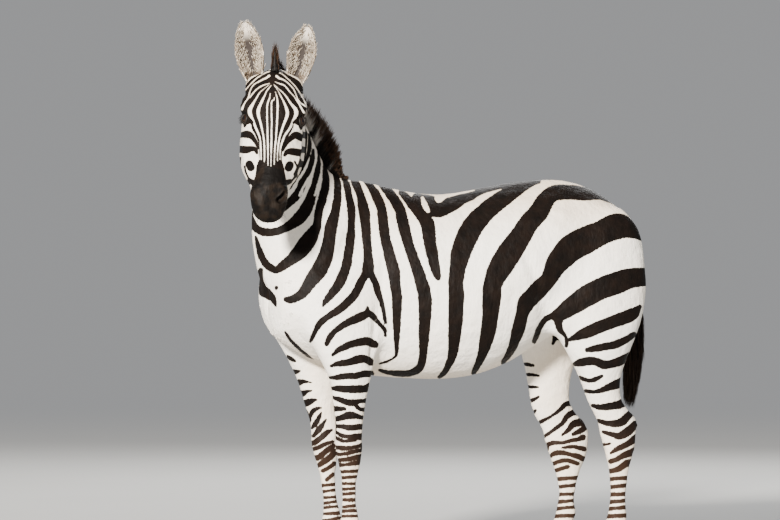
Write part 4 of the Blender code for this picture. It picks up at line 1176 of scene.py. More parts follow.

# %% [markdown]
# ## The coat's paint
#
# The stripes' field goes through a little noise, drawn out along the lie of the hair, and a soft step,
# so that the edge is broken by single hairs. White isn't white: it is cream, warmer on the back, and
# deepened near the midline between the legs as painted shade under the belly. The black leans to brown
# too, and turns russet down the legs. One recipe serves skin and tufts alike.

# %% coat material
CREAM, SNOW = (0.64, 0.49, 0.33), (0.88, 0.845, 0.78)
BLACK, RUSSET = (0.0032, 0.0024, 0.0020), (0.026, 0.0135, 0.0080)
MUZZLE_DARK, MUZZLE_BROWN = (0.0030, 0.0024, 0.0021), (0.0085, 0.0058, 0.0040)


def coat_paint(name, hairy):
    paint = Recipe(name, 0.62, 0.06)
    broad = paint.noise(0.16, 3.0)
    patchy = paint.noise(0.035, 3.0)
    hairs = paint.noise(0.0045, 3.0, (1.0, 1.0, 0.30), 0.6)
    fine = paint.noise(0.0016, 2.0, (1.0, 1.0, 0.22), 0.6)
    wander = paint.math("MULTIPLY_ADD", patchy, 0.006, -0.003)
    fray = paint.math("MULTIPLY_ADD", hairs, 0.006, -0.003)
    loose = paint.math("MULTIPLY", paint.math("ADD", wander, fray), paint.read("loose"))
    place = paint.math("ADD", paint.read("stripe"), loose)
    dark = paint.ramp(place, -0.0012, 0.0012)
    # cream by the warmth mark, which also holds the painted shade between the legs
    pale = paint.mix(paint.varied("warmth_and_shade", broad, 0.5), SNOW, CREAM)
    pale = paint.mix(paint.math("MULTIPLY", paint.ramp(fine, 0.50, 0.75), 0.22), pale, (0.42, 0.34, 0.25))
    deep = paint.mix(paint.varied("russet", patchy, 0.4), BLACK, RUSSET)
    deep = paint.mix(paint.math("MULTIPLY", paint.ramp(fine, 0.55, 0.85), 0.30), deep, (0.022, 0.017, 0.013))
    coat = paint.mix(dark, pale, deep)
    # the muzzle's dark skin colour, also laid on the ring round each eye, which is in part painted shade
    nose = paint.mix(paint.ramp(patchy, 0.42, 0.62), MUZZLE_DARK, MUZZLE_BROWN)
    edge = paint.math("ADD", paint.read("muzzle"), paint.math("MULTIPLY_ADD", hairs, 0.3, -0.15))
    paint.colour(paint.mix(paint.ramp(edge, 0.35, 0.65), coat, nose))
    paint.rough(paint.math("MULTIPLY_ADD", fine, 0.25, 0.45))
    height = paint.math("ADD", paint.math("MULTIPLY", hairs, 0.6), paint.math("MULTIPLY", fine, 0.4))
    large, small = paint.noise(0.045, 2.0), paint.noise(0.014, 2.0, (1.0, 1.0, 0.45))
    lumps = paint.math("ADD", large, paint.math("MULTIPLY", small, 0.35))
    rough_ground = paint.add("ShaderNodeBump", {"Height": lumps, "Distance": 0.013, "Strength": 0.50})
    paint.bump(height, 0.0016, 0.55 if hairy else 0.25, rough_ground.outputs["Normal"])
    return paint.material


coat = coat_paint("striped_coat_fur", True)
skin.data.materials.clear()
skin.data.materials.append(coat)
print("painted", len(skin.data.vertices), "corners")

# %% [markdown]
# ## An unwrap to hang the hair on
#
# The skin is unwrapped by its own shape. Each tuft later gets a tiny patch of that unwrap, at the place
# where it grows, so that a colour baked for the skin also suits its hair.

# %% unwrap
PATCH = 0.003


def unwrapped(piece, angle=1.15):
    """Gives a piece an OFBake map by the turns of its own surface."""
    bpy.context.view_layer.objects.active = piece
    for other in bpy.context.selected_objects:
        other.select_set(False)
    piece.select_set(True)
    layer = piece.data.uv_layers.new(name="OFBake")
    piece.data.uv_layers.active = layer
    bpy.ops.object.mode_set(mode="EDIT")
    bpy.ops.mesh.select_all(action="SELECT")
    bpy.ops.uv.smart_project(angle_limit=angle, island_margin=0.004, scale_to_bounds=True)
    bpy.ops.object.mode_set(mode="OBJECT")
    piece.select_set(False)


unwrapped(skin)


class Ground:
    """A surface to grow hair on: its triangles, and what its corners and its unwrap say."""

    def __init__(self, piece, names):
        mesh = piece.data
        mesh.calc_loop_triangles()
        self.verts = read_all(mesh.loop_triangles, "vertices", 3, np.int32)
        loops = read_all(mesh.loop_triangles, "loops", 3, np.int32)
        self.uv = read_all(mesh.uv_layers["OFBake"].data, "uv", 2)[loops]
        self.places, self.normals = corners(mesh), normals(mesh)
        self.values = {name: read_all(mesh.attributes[name].data, "value") for name in names}
        a, b, c = (self.places[self.verts[:, i]] for i in range(3))
        self.area = np.linalg.norm(np.cross(b - a, c - a), axis=1) / 2
        self.centre = (a + b + c) / 3
        self.tree = BVHTree.FromPolygons([tuple(p) for p in self.places], self.verts.tolist())

    def read(self, tri, share):
        """Place, normal, unwrap and values at shares of a triangle's corners."""
        at = self.verts[tri]
        blend = lambda source: (source[at] * share[..., None]).sum(1)
        values = {name: (value[at] * share).sum(1) for name, value in self.values.items()}
        return {"root": blend(self.places), "normal": unit(blend(self.normals)),
                "uv": (self.uv[tri] * share[..., None]).sum(1), "values": values}

    def scattered(self, count, density):
        """Random roots, as many to the area as density says at a triangle's middle."""
        chance = self.area * np.maximum(density(self.centre), 0)
        tri = rng.choice(len(chance), count, p=chance / chance.sum())
        r1, r2 = np.sqrt(rng.random(count)), rng.random(count)
        return self.read(tri, np.stack((1 - r1, r1 * (1 - r2), r1 * r2), axis=1))

    def nearest(self, points):
        """What the surface says next to points off it."""
        tris, shares = [], []
        for point in points:
            place, _, index, _ = self.tree.find_nearest(Vector(point))
            a, b, c = (self.places[v] for v in self.verts[index])
            spans = np.stack((b - a, c - a), axis=1)
            (v, w), *_ = np.linalg.lstsq(spans, np.array(place) - a, rcond=None)
            tris.append(index)
            shares.append(np.clip((1 - v - w, v, w), 0, 1))
        return self.read(np.array(tris), np.array(shares))


MARKS = ("stripe", "loose", "warmth_and_shade", "russet", "muzzle")
ground = Ground(skin, MARKS)
print("area of skin", round(ground.area.sum(), 2), "m2")

# %% [markdown]
# ## Hair as solid tufts
#
# Real hair is far too fine to model one by one. A tuft stands for a lock of it: a slim three-sided
# spike that tapers, bends over and lies along the body. One spike is modelled, and arrays place its
# copies, because a mesh of many thousand tufts then takes a fraction of a second.


# %% the tuft and its copies
def spike(profile):
    """One tuft along +Z from its root to its tip: pairs of height and width."""
    bm = bmesh.new()
    bmesh.ops.create_circle(bm, cap_ends=True, segments=3, radius=profile[0][1])
    face = bm.faces[:][0]
    width, height = profile[0][1], 0.0
    for next_height, next_width in profile[1:]:
        made = bmesh.ops.extrude_face_region(bm, geom=[face])
        ring = [item for item in made["geom"] if isinstance(item, bmesh.types.BMVert)]
        bmesh.ops.translate(bm, verts=ring, vec=(0, 0, next_height - height))
        scale = max(next_width, 1e-3) / width
        bmesh.ops.scale(bm, verts=ring, vec=(scale, scale, 1))
        face = next(item for item in made["geom"] if isinstance(item, bmesh.types.BMFace))
        width, height = max(next_width, 1e-3), next_height
    bmesh.ops.pointmerge(bm, verts=face.verts[:], merge_co=(0, 0, height))
    foot = [f for f in bm.faces if all(abs(v.co.z) < 1e-6 for v in f.verts)]
    bmesh.ops.delete(bm, geom=foot, context="FACES_ONLY")
    bmesh.ops.holes_fill(bm, edges=[e for e in bm.edges if e.is_boundary], sides=3)
    bmesh.ops.recalc_face_normals(bm, faces=bm.faces)
    bmesh.ops.triangulate(bm, faces=bm.faces)
    bm.verts.index_update()
    verts = np.array([tuple(vert.co) for vert in bm.verts])
    faces = np.array([[vert.index for vert in face.verts] for face in bm.faces])
    bm.free()
    return verts, faces


SHORT = spike(((0, 0.7), (0.45, 1.0), (1, 0)))
LONG = spike(((0, 0.8), (0.3, 1.0), (0.7, 0.75), (1, 0)))


def tufts(name, material, shape, roots, direction, length, width, thick, curl):
    """A joined mesh of one tuft per root; curl is how far, and which way, the tip bends over."""
    verts, faces = shape
    count, n = len(roots["root"]), len(verts)
    direction = unit(direction)
    side = unit(np.cross(direction, roots["normal"]) + 1e-9)
    over = np.cross(side, direction)
    length, width, thick = (np.broadcast_to(value, count)[:, None, None] for value in (length, width, thick))
    x, y, t = (verts[None, :, i, None] for i in range(3))
    places = (roots["root"][:, None] + direction[:, None] * length * t + curl[:, None] * length * t ** 2
              + side[:, None] * x * width + over[:, None] * y * thick)
    tris = (faces[None] + (np.arange(count) * n)[:, None, None]).reshape(-1, 3)
    mesh = bpy.data.meshes.new(name)
    mesh.vertices.add(count * n)
    mesh.vertices.foreach_set("co", places.ravel())
    mesh.loops.add(len(tris) * 3)
    mesh.loops.foreach_set("vertex_index", tris.ravel().astype(np.int32))
    mesh.polygons.add(len(tris))
    mesh.polygons.foreach_set("loop_start", np.arange(0, len(tris) * 3, 3, dtype=np.int32))
    mesh.update(calc_edges=True)
    mesh.shade_smooth()
    layer = mesh.uv_layers.new(name="OFBake")
    patch = np.stack((verts[:, 0] * 0.5, verts[:, 2] - 0.5), axis=1) * PATCH
    uv = np.clip(roots["uv"][:, None] + patch[None], 0.001, 0.999).reshape(-1, 2)
    layer.data.foreach_set("uv", uv[tris.ravel()].astype(np.float32).ravel())
    write_marks(mesh, {key: np.repeat(roots["values"][key], n) for key in MARKS})
    write_marks(mesh, {"tip": np.tile(verts[:, 2], count)})
    mesh.materials.append(material)
    piece = link(bpy.data.objects.new(name, mesh))
    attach(piece, "root")
    print(name, count, "tufts,", len(tris), "triangles")
    return piece


def along_surface(direction, normal, lift):
    """A direction laid on the surface, and lifted off it by a share."""
    flat = direction - normal * (direction * normal).sum(1, keepdims=True)
    return unit(unit(flat) + normal * np.reshape(lift, (-1, 1)))


def hair_lie(places):
    """Which way the coat's hair runs: back over the trunk, down the legs and neck, down the face."""
    x, _, z = (places - WITHERS).T

    def lie(back, aside, up):
        return np.stack(np.broadcast_arrays(back, aside, up + 0 * x), axis=1)

    trunk_way = lie(0.9, 0, -0.30 - 0.5 * smooth(-z, -1.0, -0.75))
    neck_way, leg_way, rump_way = lie(0.55, 0.25, -0.75), lie(0.12, 0, -1.0), lie(0.2, 0, -1.0)
    neck_part = (smooth(-x, 0.04, 0.16) * smooth(z, 0.98, 1.12))[:, None]
    leg_part = smooth(-z, -0.80, -0.68)[:, None]
    way = trunk_way + neck_part * (neck_way - trunk_way)
    way = way + leg_part * (leg_way - way)
    rump = (smooth(x, 0.86, 1.0) * (1 - leg_part[:, 0]))[:, None]
    way = way + rump * (rump_way - way)
    head = on_head_part(places)[:, None]
    _, _, left = head_places(places)
    face_way = ALONG + np.outer(left, LEFT) * 2.0
    return unit(way + head * (face_way - way))


def shaken(way, amount):
    return unit(way + rng.normal(0, amount, way.shape))


# %% the short coat
def coat_density(places):
    """More tufts where the coat breaks the outline: chest, belly and along the back; none on the head."""
    points = places - WITHERS
    x, y, z = points.T
    head = on_head_part(places)
    breast = gauss(x + 0.29, 0.10) * gauss(z - 0.98, 0.16)
    keel = smooth(-z, -0.70, -0.64) * (np.abs(y) < 0.10) * (z > 0.58)
    back = gauss(y, 0.03) * (z > 1.20)
    return (1.0 + 2.5 * breast + 2.0 * keel + 2.0 * back) * (1 - head)


PAST_EDGE = 0.003               # a tuft reaches no further than this over a stripe's edge


def coat_piece(name, count, density, length, width, lift):
    roots = ground.scattered(count, density)
    roots["root"] -= roots["normal"] * 0.0008
    way = along_surface(shaken(hair_lie(roots["root"]), 0.13), roots["normal"], lift)
    sizes = length(roots["root"]) * rng.uniform(0.7, 1.25, count)
    sizes = np.minimum(sizes, PAST_EDGE + np.abs(roots["values"]["stripe"]))
    curl = -roots["normal"] * 0.10 + rng.normal(0, 0.05, roots["root"].shape)
    return tufts(name, coat, SHORT, roots, way, sizes, sizes * width, sizes * width * 0.35, curl)


def is_low(places):
    return smooth(-(places[:, 2]), -0.74, -0.66)


def coat_length(places):
    points = places - WITHERS
    return 0.0135 - 0.004 * is_low(places) + 0.006 * gauss(points[:, 0] + 0.27, 0.08) * (points[:, 2] > 0.75)


coat_piece("coat_trunk", 17000, lambda p: coat_density(p) * (1 - is_low(p)), coat_length, 0.075, 0.055)
coat_piece("coat_legs", 13000, lambda p: coat_density(p) * is_low(p) * (p[:, 2] > 0.085), coat_length,
           0.07, 0.07)


def face_density(places):
    along, out, _ = head_places(places)
    round_eye = np.minimum(*(np.linalg.norm(places - eye_axes(side)[0], axis=1) for side in SIDE_FACES))
    bare = muzzle_share(places) * smooth(along, 0.44, 0.48)
    return on_head_part(places) * (round_eye > 0.027) * (1 - 0.9 * bare) * (1 + 2 * smooth(-out, 0.16, 0.22))


def face_length(places):
    along, out, _ = head_places(places)
    return 0.0062 + 0.006 * smooth(-out, 0.12, 0.22) - 0.002 * smooth(along, 0.25, 0.45)


coat_piece("coat_head", 14000, face_density, face_length, 0.08, 0.06)

# %% [markdown]
# ## Eyes
#
# The ball is nearly black brown with a wide, level pupil, under a clear and very smooth cornea. The
# lids' rims are thick, dark and hairless, and long lashes stand out over the upper one.


# %% eyeballs, lids and lashes
def eye_paint():
    paint = Recipe("eye_gloss", 0.12, 0.22, Coat_Weight=0.12, Coat_Roughness=0.03)
    x, y = paint.read("eye_x"), paint.read("eye_y")
    fibres = paint.noise(0.0012, 3.0)
    flat = paint.math("POWER", paint.math("DIVIDE", x, 0.0072), 2.0)
    tall = paint.math("POWER", paint.math("DIVIDE", y, 0.0042), 2.0)
    pupil = paint.ramp(paint.math("ADD", flat, tall), 0.85, 1.15)
    far = paint.math("SQRT", paint.math("ADD", paint.math("POWER", x, 2.0), paint.math("POWER", y, 2.0)))
    iris = paint.mix(fibres, (0.007, 0.0035, 0.002), (0.018, 0.008, 0.004))
    ball = paint.mix(pupil, (0.002, 0.002, 0.003), iris)
    paint.colour(paint.mix(paint.ramp(far, 0.0135, 0.0165), ball, (0.020, 0.012, 0.009)))
    return paint.material


def lid_paint():
    paint = Recipe("lid_skin", 0.50, 0.14)
    crease = paint.noise(0.0022, 3.0)
    paint.colour(paint.mix(crease, (0.004, 0.0035, 0.003), (0.012, 0.009, 0.007)))
    paint.bump(crease, 0.0006, 0.6)
    return paint.material


def hair_paint(name, root_colour, tip_colour, banded=False):
    paint = Recipe(name, 0.55, 0.12)
    tip = paint.read("tip")
    strands = paint.noise(0.0018, 3.0, (1.0, 1.0, 0.15), 0.6)
    worn = paint.ramp(paint.math("MULTIPLY_ADD", strands, 0.5, tip), 0.75, 1.25)
    colour = paint.mix(worn, root_colour, tip_colour)
    if banded:
        place = paint.math("ADD", paint.read("stripe"), paint.math("MULTIPLY_ADD", strands, 0.012, -0.006))
        pale = paint.mix(paint.ramp(tip, 0.25, 0.80), (0.30, 0.28, 0.26), tip_colour)
        colour = paint.mix(paint.ramp(place, -0.003, 0.003), pale, colour)
    paint.colour(colour)
    paint.rough(paint.math("MULTIPLY_ADD", strands, 0.25, 0.42))
    paint.bump(strands, 0.0012, 0.5)
    return paint.material


eye_gloss, lid_skin = eye_paint(), lid_paint()
dark_hair = hair_paint("dark_hair", (0.004, 0.0032, 0.0028), (0.020, 0.011, 0.006))


def lid_curve(side, steps=48, lift=0.0012):
    """The opening's edge, on a ball a little larger than the eye."""
    middle, gaze, inner, upper = eye_axes(side)
    made = []
    for turn in np.arange(steps) * 2 * math.pi / steps:
        x = LID_LONG * math.cos(turn)
        high = LID_UP if math.sin(turn) > 0 else LID_LOW
        y = high * math.sin(turn) * (1 - 0.12 * math.cos(turn) ** 2)
        deep = math.sqrt((EYE_RADIUS + lift) ** 2 - x * x - y * y)
        made.append((middle + inner * x + upper * y + gaze * deep, turn))
    return made


def swept_ring(name, rows, material):
    """A closed tube: rows of centre, radius outwards and radius across, with the outward direction."""
    bm = bmesh.new()
    count = len(rows)
    centres = [row[0] for row in rows]
    loops = []
    for i, (centre, wide, deep, outward) in enumerate(rows):
        run = unit(centres[(i + 1) % count] - centres[i - 1])
        away = unit(outward - run * (outward @ run))
        across = np.cross(run, away)
        ring = bmesh.ops.create_circle(bm, segments=8, radius=1.0)["verts"]
        for k, vert in enumerate(ring):
            turn = 2 * math.pi * k / 8
            vert.co = centre + away * math.cos(turn) * deep + across * math.sin(turn) * wide
        loops.append(list({edge for vert in ring for edge in vert.link_edges}))
    for first, second in zip(loops, loops[1:] + loops[:1]):
        bmesh.ops.bridge_loops(bm, edges=first + second)
    bmesh.ops.recalc_face_normals(bm, faces=bm.faces)
    return to_object(bm, name, material)


for side, label in ((1, "left"), (-1, "right")):
    middle, gaze, inner, upper = eye_axes(side)
    turn = Matrix((inner, np.cross(gaze, inner), gaze)).transposed().to_4x4()
    bm = bmesh.new()
    bmesh.ops.create_uvsphere(bm, u_segments=40, v_segments=24, radius=EYE_RADIUS - 0.0004,
                              matrix=Matrix.Translation(Vector(middle)) @ turn)
    for vert in bm.verts:
        away = np.array(vert.co) - middle
        off = np.linalg.norm(away - gaze * (away @ gaze))
        if away @ gaze > 0:
            vert.co += Vector(gaze) * 0.0022 * float(gauss(off, 0.010))
    eyeball = to_object(bm, "eyeball_" + label, eye_gloss)
    away = corners(eyeball.data) - middle
    write_marks(eyeball.data, {"eye_x": away @ inner, "eye_y": away @ upper})
    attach(eyeball, "root")
    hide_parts("eye_" + label)
    rows = []
    for place, turn in lid_curve(side):
        corner = abs(math.cos(turn)) ** 6
        fat = 0.0026 + (0.0008 if math.sin(turn) > 0 else 0.0) + 0.0010 * corner
        rows.append((place, fat * 1.25, fat, unit(place - middle)))
    lid = swept_ring("eyelids_" + label, rows, lid_skin)
    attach(lid, "root")
    edge = np.array([place for place, turn in lid_curve(side, 60, 0.0030) if 0.35 < turn < 2.8])
    places = np.repeat(edge, 2, axis=0) + rng.normal(0, 0.0005, (2 * len(edge), 3))
    lashes = ground.nearest(places)
    lashes["root"] = places
    lashes["normal"] = unit(places - middle)
    way = shaken(lashes["normal"] * 0.8 + upper * 0.35 + ALONG * 0.45, 0.12)
    curl = np.tile(-UP * 0.18, (len(places), 1))
    sizes = rng.uniform(0.006, 0.012, len(places))
    tufts("lashes_" + label, dark_hair, LONG, lashes, way, sizes, 0.0004, 0.0004, curl)

# %% [markdown]
# ## Ears
#
# A zebra's ear is a leaf rolled into a cup. Sections across the leaf are bridged into a sheet, and the
# sheet is given its wall. It is dark skin within, lined with cream hair that grows in from the rim, with
# a thin black edge and a white tip. Its back carries one broad black patch, and a thin bar below it.

# %% ears
EARS = (("left", 1, 0.188, 0.067, math.radians(12.1)), ("right", -1, 0.195, 0.071, math.radians(9.8)))
EAR_ROWS = (
    # along the ear, half width, how far the rim comes forward, depth of the hollow
    (0.00, 0.033, 0.80, 0.028), (0.10, 0.039, 0.65, 0.031), (0.25, 0.045, 0.42, 0.032),
    (0.42, 0.050, 0.25, 0.031),
    (0.60, 0.047, 0.18, 0.028), (0.77, 0.037, 0.12, 0.021), (0.90, 0.023, 0.08, 0.013),
    (0.97, 0.012, 0.05, 0.006),
    (1.00, 0.005, 0.02, 0.003),
)
EAR_COLUMNS, EAR_THICK = 29, 0.0032
EAR_HAIR = (
    # how many, from where to where up the ear and across it, length
    (2300, (0.05, 0.97), (0.16, 0.97), 0.026),      # lining
    (700, (0.03, 0.99), (0.93, 1.0), 0.012),        # fringe of the rim
)


def ear_axes(side, root, lean):
    base = on_head(0.016, -0.058, side * root)
    rise = unit(UP * math.cos(lean) + LEFT * side * math.sin(lean))
    front = -unit(np.cross(UP, LEFT))
    front = unit(front - rise * (front @ rise))
    return base, rise, front, np.cross(rise, front)


def ear_paint(name):
    paint = Recipe(name, 0.7, 0.25, Sheen_Weight=0.10)
    up, edge, inside = paint.read("ear_up"), paint.read("ear_edge"), paint.read("ear_in")
    hairs = paint.noise(0.004, 3.0, (1, 1, 0.3), 0.6)
    fine = paint.noise(0.0014, 2.0, (1, 1, 0.25))
    wavy = paint.math("MULTIPLY_ADD", hairs, 0.10, paint.math("SUBTRACT", up, 0.05))
    white = paint.mix(fine, (0.62, 0.55, 0.45), (0.80, 0.75, 0.67))
    black = paint.mix(fine, (0.016, 0.012, 0.010), (0.06, 0.045, 0.035))
    patch = paint.math("MULTIPLY", paint.ramp(wavy, 0.50, 0.54), paint.fade(wavy, 0.86, 0.90))
    low_bar = paint.math("MULTIPLY", paint.ramp(wavy, 0.20, 0.23), paint.fade(wavy, 0.31, 0.34))
    outer = paint.mix(paint.math("MAXIMUM", patch, low_bar), white, black)
    deep = paint.fade(paint.math("MULTIPLY_ADD", hairs, 0.3, edge), 0.35, 0.80)
    hollow = paint.mix(deep, (0.020, 0.014, 0.011), (0.34, 0.27, 0.20))
    hollow = paint.mix(paint.ramp(up, 0.66, 0.92), hollow, (0.62, 0.55, 0.46))
    colour = paint.mix(paint.ramp(inside, 0.4, 0.6), outer, hollow)
    rim = paint.fade(paint.math("MULTIPLY_ADD", hairs, 0.05, edge), 0.06, 0.11)
    tip = paint.math("MULTIPLY", paint.ramp(up, 0.93, 0.99), 0.8)
    rim = paint.math("MULTIPLY", rim, paint.math("SUBTRACT", 1.0, tip))
    paint.colour(paint.mix(rim, colour, (0.022, 0.016, 0.013)))
    paint.bump(paint.math("ADD", paint.math("MULTIPLY", hairs, 0.5), fine), 0.0012, 0.5)
    return paint.material


ear_skin = ear_paint("ear_skin")


def ear_point(side, length, root, lean, up, t, lift=0.0):
    """A place on the ear's leaf: up from 0 to 1, t from -1 to 1 across it, lifted into the cup."""
    base, rise, front, across = ear_axes(side, root, lean)
    rows = EAR_LINE
    half, roll, deep = (np.interp(up, rows[:, 0], rows[:, i]) for i in (1, 2, 3))
    turn = t * math.pi / 2
    curl = 1 - 0.30 * roll * abs(t) ** 3
    notch = 0.0
    if side > 0:
        notch = 0.10 * float(gauss(up - 0.875, 0.030)) * float(smooth(-t, 0.3, 1.0))
    out = math.sin(turn) * half * curl * (1 - notch * 3.0)
    place = base + rise * (up * length) + across * out
    return place - front * (deep * (math.cos(turn) - roll * t * t * 0.9) - lift)


EAR_LINE = flowing(EAR_ROWS, 4)
ear_hair = hair_paint("ear_hair_cream", (0.26, 0.20, 0.145), (0.70, 0.62, 0.51))
for label, side, length, root, lean in EARS:
    bm = bmesh.new()
    rungs = []
    spots = np.linspace(-1, 1, EAR_COLUMNS)
    for up in EAR_LINE[:, 0]:
        verts = [bm.verts.new(ear_point(side, length, root, lean, up, t)) for t in spots]
        rungs.append([bm.edges.new(pair) for pair in zip(verts, verts[1:])])
    for first, second in zip(rungs, rungs[1:]):
        bmesh.ops.bridge_loops(bm, edges=first + second)
    bmesh.ops.recalc_face_normals(bm, faces=bm.faces)
    base, rise, front, across = ear_axes(side, root, lean)
    bm.faces.ensure_lookup_table()
    if bm.faces[len(bm.faces) // 2].normal @ Vector(front) < 0:
        bmesh.ops.reverse_faces(bm, faces=bm.faces)
    bmesh.ops.solidify(bm, geom=bm.faces[:], thickness=EAR_THICK)
    ear = to_object(bm, "ear_cup_" + label, ear_skin)
    points, outward = corners(ear.data), normals(ear.data)
    away = points - base
    up = away @ rise / length
    half = np.interp(up, EAR_LINE[:, 0], EAR_LINE[:, 1])
    share = np.clip(np.abs(away @ across) / half, 0, 1)
    edge = np.minimum((1 - 2 / math.pi * np.arcsin(share)) * half / 0.05, (1 - up) * 3.2)
    off = np.outer(away @ front, front) + np.outer(away @ across, across)
    inside = (outward * (front * 0.030 - off)).sum(1) > 0
    write_marks(ear.data, {"ear_up": up, "ear_edge": edge, "ear_in": inside.astype(float)})
    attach(ear, "root")
    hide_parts("ear_" + label)

    rows = []
    for count, heights, spans, long in EAR_HAIR:
        for _ in range(count):
            up_at = rng.uniform(*heights)
            t = rng.choice((-1, 1)) * rng.uniform(*spans)
            place = ear_point(side, length, root, lean, up_at, t, 0.0015)
            centre = ear_point(side, length, root, lean, min(up_at + 0.16, 1.1), t * 0.45, 0.012)
            rows.append((place, unit(centre - place), long, up_at))
    places, inward, lengths, heights = (np.array(column) for column in zip(*rows))
    hair = ground.nearest(places)
    hair["root"], hair["normal"] = places, np.tile(front, (len(places), 1))
    way = shaken(inward + rise * 0.45 + front * 0.05, 0.30)
    size = lengths * rng.uniform(0.6, 1.2, len(rows))
    size *= 1 - 0.45 * heights
    tufts("ear_hair_" + label, ear_hair, LONG, hair, way, size, size * 0.055, size * 0.03,
          np.tile(rise * 0.15, (len(rows), 1)))

# %% [markdown]
# ## Mane, forelock and brush
#
# The mane stands upright from the crest, a hand high. It carries the neck's stripes on up, and its tips
# are brown. Its tufts are long and stiff, fanned a little to both sides, over a core that keeps light
# from showing between their roots; the core is dark all over, as painted shade deep in the mane. The
# tail's brush hangs from the last third of the dock.

# %% mane
MANE_ROWS = (
    # skin x, y, z, hair's direction, height, half width
    (-0.010, 0.000, 1.298, 0.45, 0.00, 0.89, 0.012, 0.008),
    (-0.040, -0.002, 1.309, 0.50, 0.00, 0.86, 0.024, 0.014),
    (-0.089, -0.016, 1.339, 0.52, 0.12, 0.85, 0.084, 0.019),
    (-0.143, -0.044, 1.416, 0.47, 0.28, 0.84, 0.099, 0.021),
    (-0.198, -0.088, 1.496, 0.24, 0.46, 0.85, 0.090, 0.020),
    (-0.278, -0.128, 1.568, 0.08, 0.40, 0.91, 0.080, 0.019),
    (-0.326, -0.188, 1.636, 0.04, 0.20, 0.98, 0.092, 0.017),
    (-0.360, -0.264, 1.655, 0.00, -0.06, 1.00, 0.106, 0.014),
)
mane_hair = hair_paint("mane_hair", (0.0045, 0.0036, 0.003), (0.050, 0.024, 0.012), True)
line = flowing(MANE_ROWS, 10)
spans = np.linalg.norm(np.diff(line[:, :3], axis=0), axis=1)
reach = np.concatenate(([0], np.cumsum(spans)))


def mane_row(share):
    """The mane's row of numbers at shares of its length."""
    return np.stack([np.interp(share * reach[-1], reach, line[:, i]) for i in range(line.shape[1])], axis=1)


def grow_mane(name, count, low, high, spread, keep):
    share = rng.uniform(low, high, count)
    rows = mane_row(share)
    run = unit(mane_row(np.clip(share + 0.01, 0, 1))[:, :3] - mane_row(np.clip(share - 0.01, 0, 1))[:, :3])
    stand = unit(rows[:, 3:6])
    side = unit(np.cross(run, stand))
    off = rng.uniform(-1, 1, count)
    places = WITHERS + rows[:, :3] + side * (off * rows[:, 7] * 0.9)[:, None] - stand * 0.010
    hair = ground.nearest(places)
    colour_at = hair["root"] - WITHERS
    hair["values"]["stripe"] = painted(colour_at - side * 0.004, NECK_STROKES + TRUNK_STROKES[:2])
    top = smooth(share, 0.80, 0.86)
    hair["values"]["stripe"] = np.maximum(hair["values"]["stripe"] + 0.004, -0.03 + 0.05 * top)
    hair["root"], hair["normal"] = places, side
    clump = np.sin(share * 190) + 0.6 * np.sin(share * 77 + 1.3)
    even = 1 + 0.07 * clump - (0.20 + 0.45 * top) * off ** 2
    sizes = (rows[:, 6] + 0.010) * even * rng.uniform(0.72, 1.05, count) * keep
    fan = side * (off * spread * (1 - 1.9 * top))[:, None]
    way = shaken(stand + fan + run * (0.06 * clump)[:, None], 0.045)
    curl = side * (off * 0.05)[:, None] - run * 0.02
    width = 0.0026 * rng.uniform(0.7, 1.3, count)
    return tufts(name, mane_hair, LONG, hair, way, sizes, width, 0.0016, curl)


mane = grow_mane("mane_hair_long", 5200, 0.0, 0.985, 0.10, 1.0)
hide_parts("mane")
grow_mane("mane_hair_short", 2200, 0.02, 0.97, 0.30, 0.55)

bm = bmesh.new()
merged_copy(bm, "mane", -0.0095)
bmesh.ops.subdivide_edges(bm, edges=bm.edges[:], cuts=1, use_grid_fill=True)
bmesh.ops.smooth_vert(bm, verts=bm.verts[:], factor=0.5, use_axis_x=True, use_axis_y=True, use_axis_z=True)
core = to_object(bm, "mane_core", mane_hair)
core_points = corners(core.data) - WITHERS
# painted shade: the core is dark all over, whatever the neck's stripes, as the shade deep among the mane's
# roots
write_marks(core.data, {"stripe": np.full(len(core_points), 0.02), "tip": np.zeros(len(core_points))})
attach(core, "root")

# %% brush of the tail
DOCK = np.array(((1.029, 0, 0.990), (1.038, 0, 0.900), (1.045, 0, 0.820), (1.042, 0, 0.775)))
BRUSH_TIPS = ((1.040, 0.900, 0.022, 0.022), (1.046, 0.840, 0.032, 0.030), (1.043, 0.760, 0.040, 0.035),
              (1.038, 0.670, 0.040, 0.034), (1.030, 0.590, 0.032, 0.028), (1.023, 0.530, 0.019, 0.018))


def grow_brush(name, count, width):
    share = rng.uniform(0, 1, count) ** 0.8
    roots = np.stack([np.interp(share, np.linspace(0, 1, 4), DOCK[:, i]) for i in range(3)], axis=1)
    turn = rng.uniform(0, 2 * math.pi, count)
    ring = np.stack((np.cos(turn), np.sin(turn), 0 * turn), axis=1)
    tips = np.array(BRUSH_TIPS)
    end_z = np.maximum(roots[:, 2] - rng.uniform(0.16, 0.36, count), rng.uniform(0.505, 0.56, count))
    bulge_x, bulge_y = (np.interp(-end_z, -tips[:, 1], tips[:, i]) for i in (2, 3))
    middle_x = np.interp(-end_z, -tips[:, 1], tips[:, 0])
    part = np.sqrt(rng.uniform(0.05, 1.0, count))
    ends = np.stack((middle_x + ring[:, 0] * bulge_x * part, ring[:, 1] * bulge_y * part, end_z), axis=1)
    places = WITHERS + roots + ring * 0.010
    ends = WITHERS + ends
    hair = ground.nearest(places)
    hair["root"], hair["normal"] = places, ring
    length = np.linalg.norm(ends - places, axis=1)
    bow = ring * (0.10 * rng.uniform(0.4, 1.2, count))[:, None]
    way = unit(ends - places + bow * length[:, None])
    curl = -bow + rng.normal(0, 0.012, bow.shape)
    widths = width * rng.uniform(0.7, 1.3, count)
    return tufts(name, dark_hair, LONG, hair, way, length, widths, width * 0.6, curl)


brush = grow_brush("tail_brush", 2600, 0.0030)
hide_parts("tail_tuft")

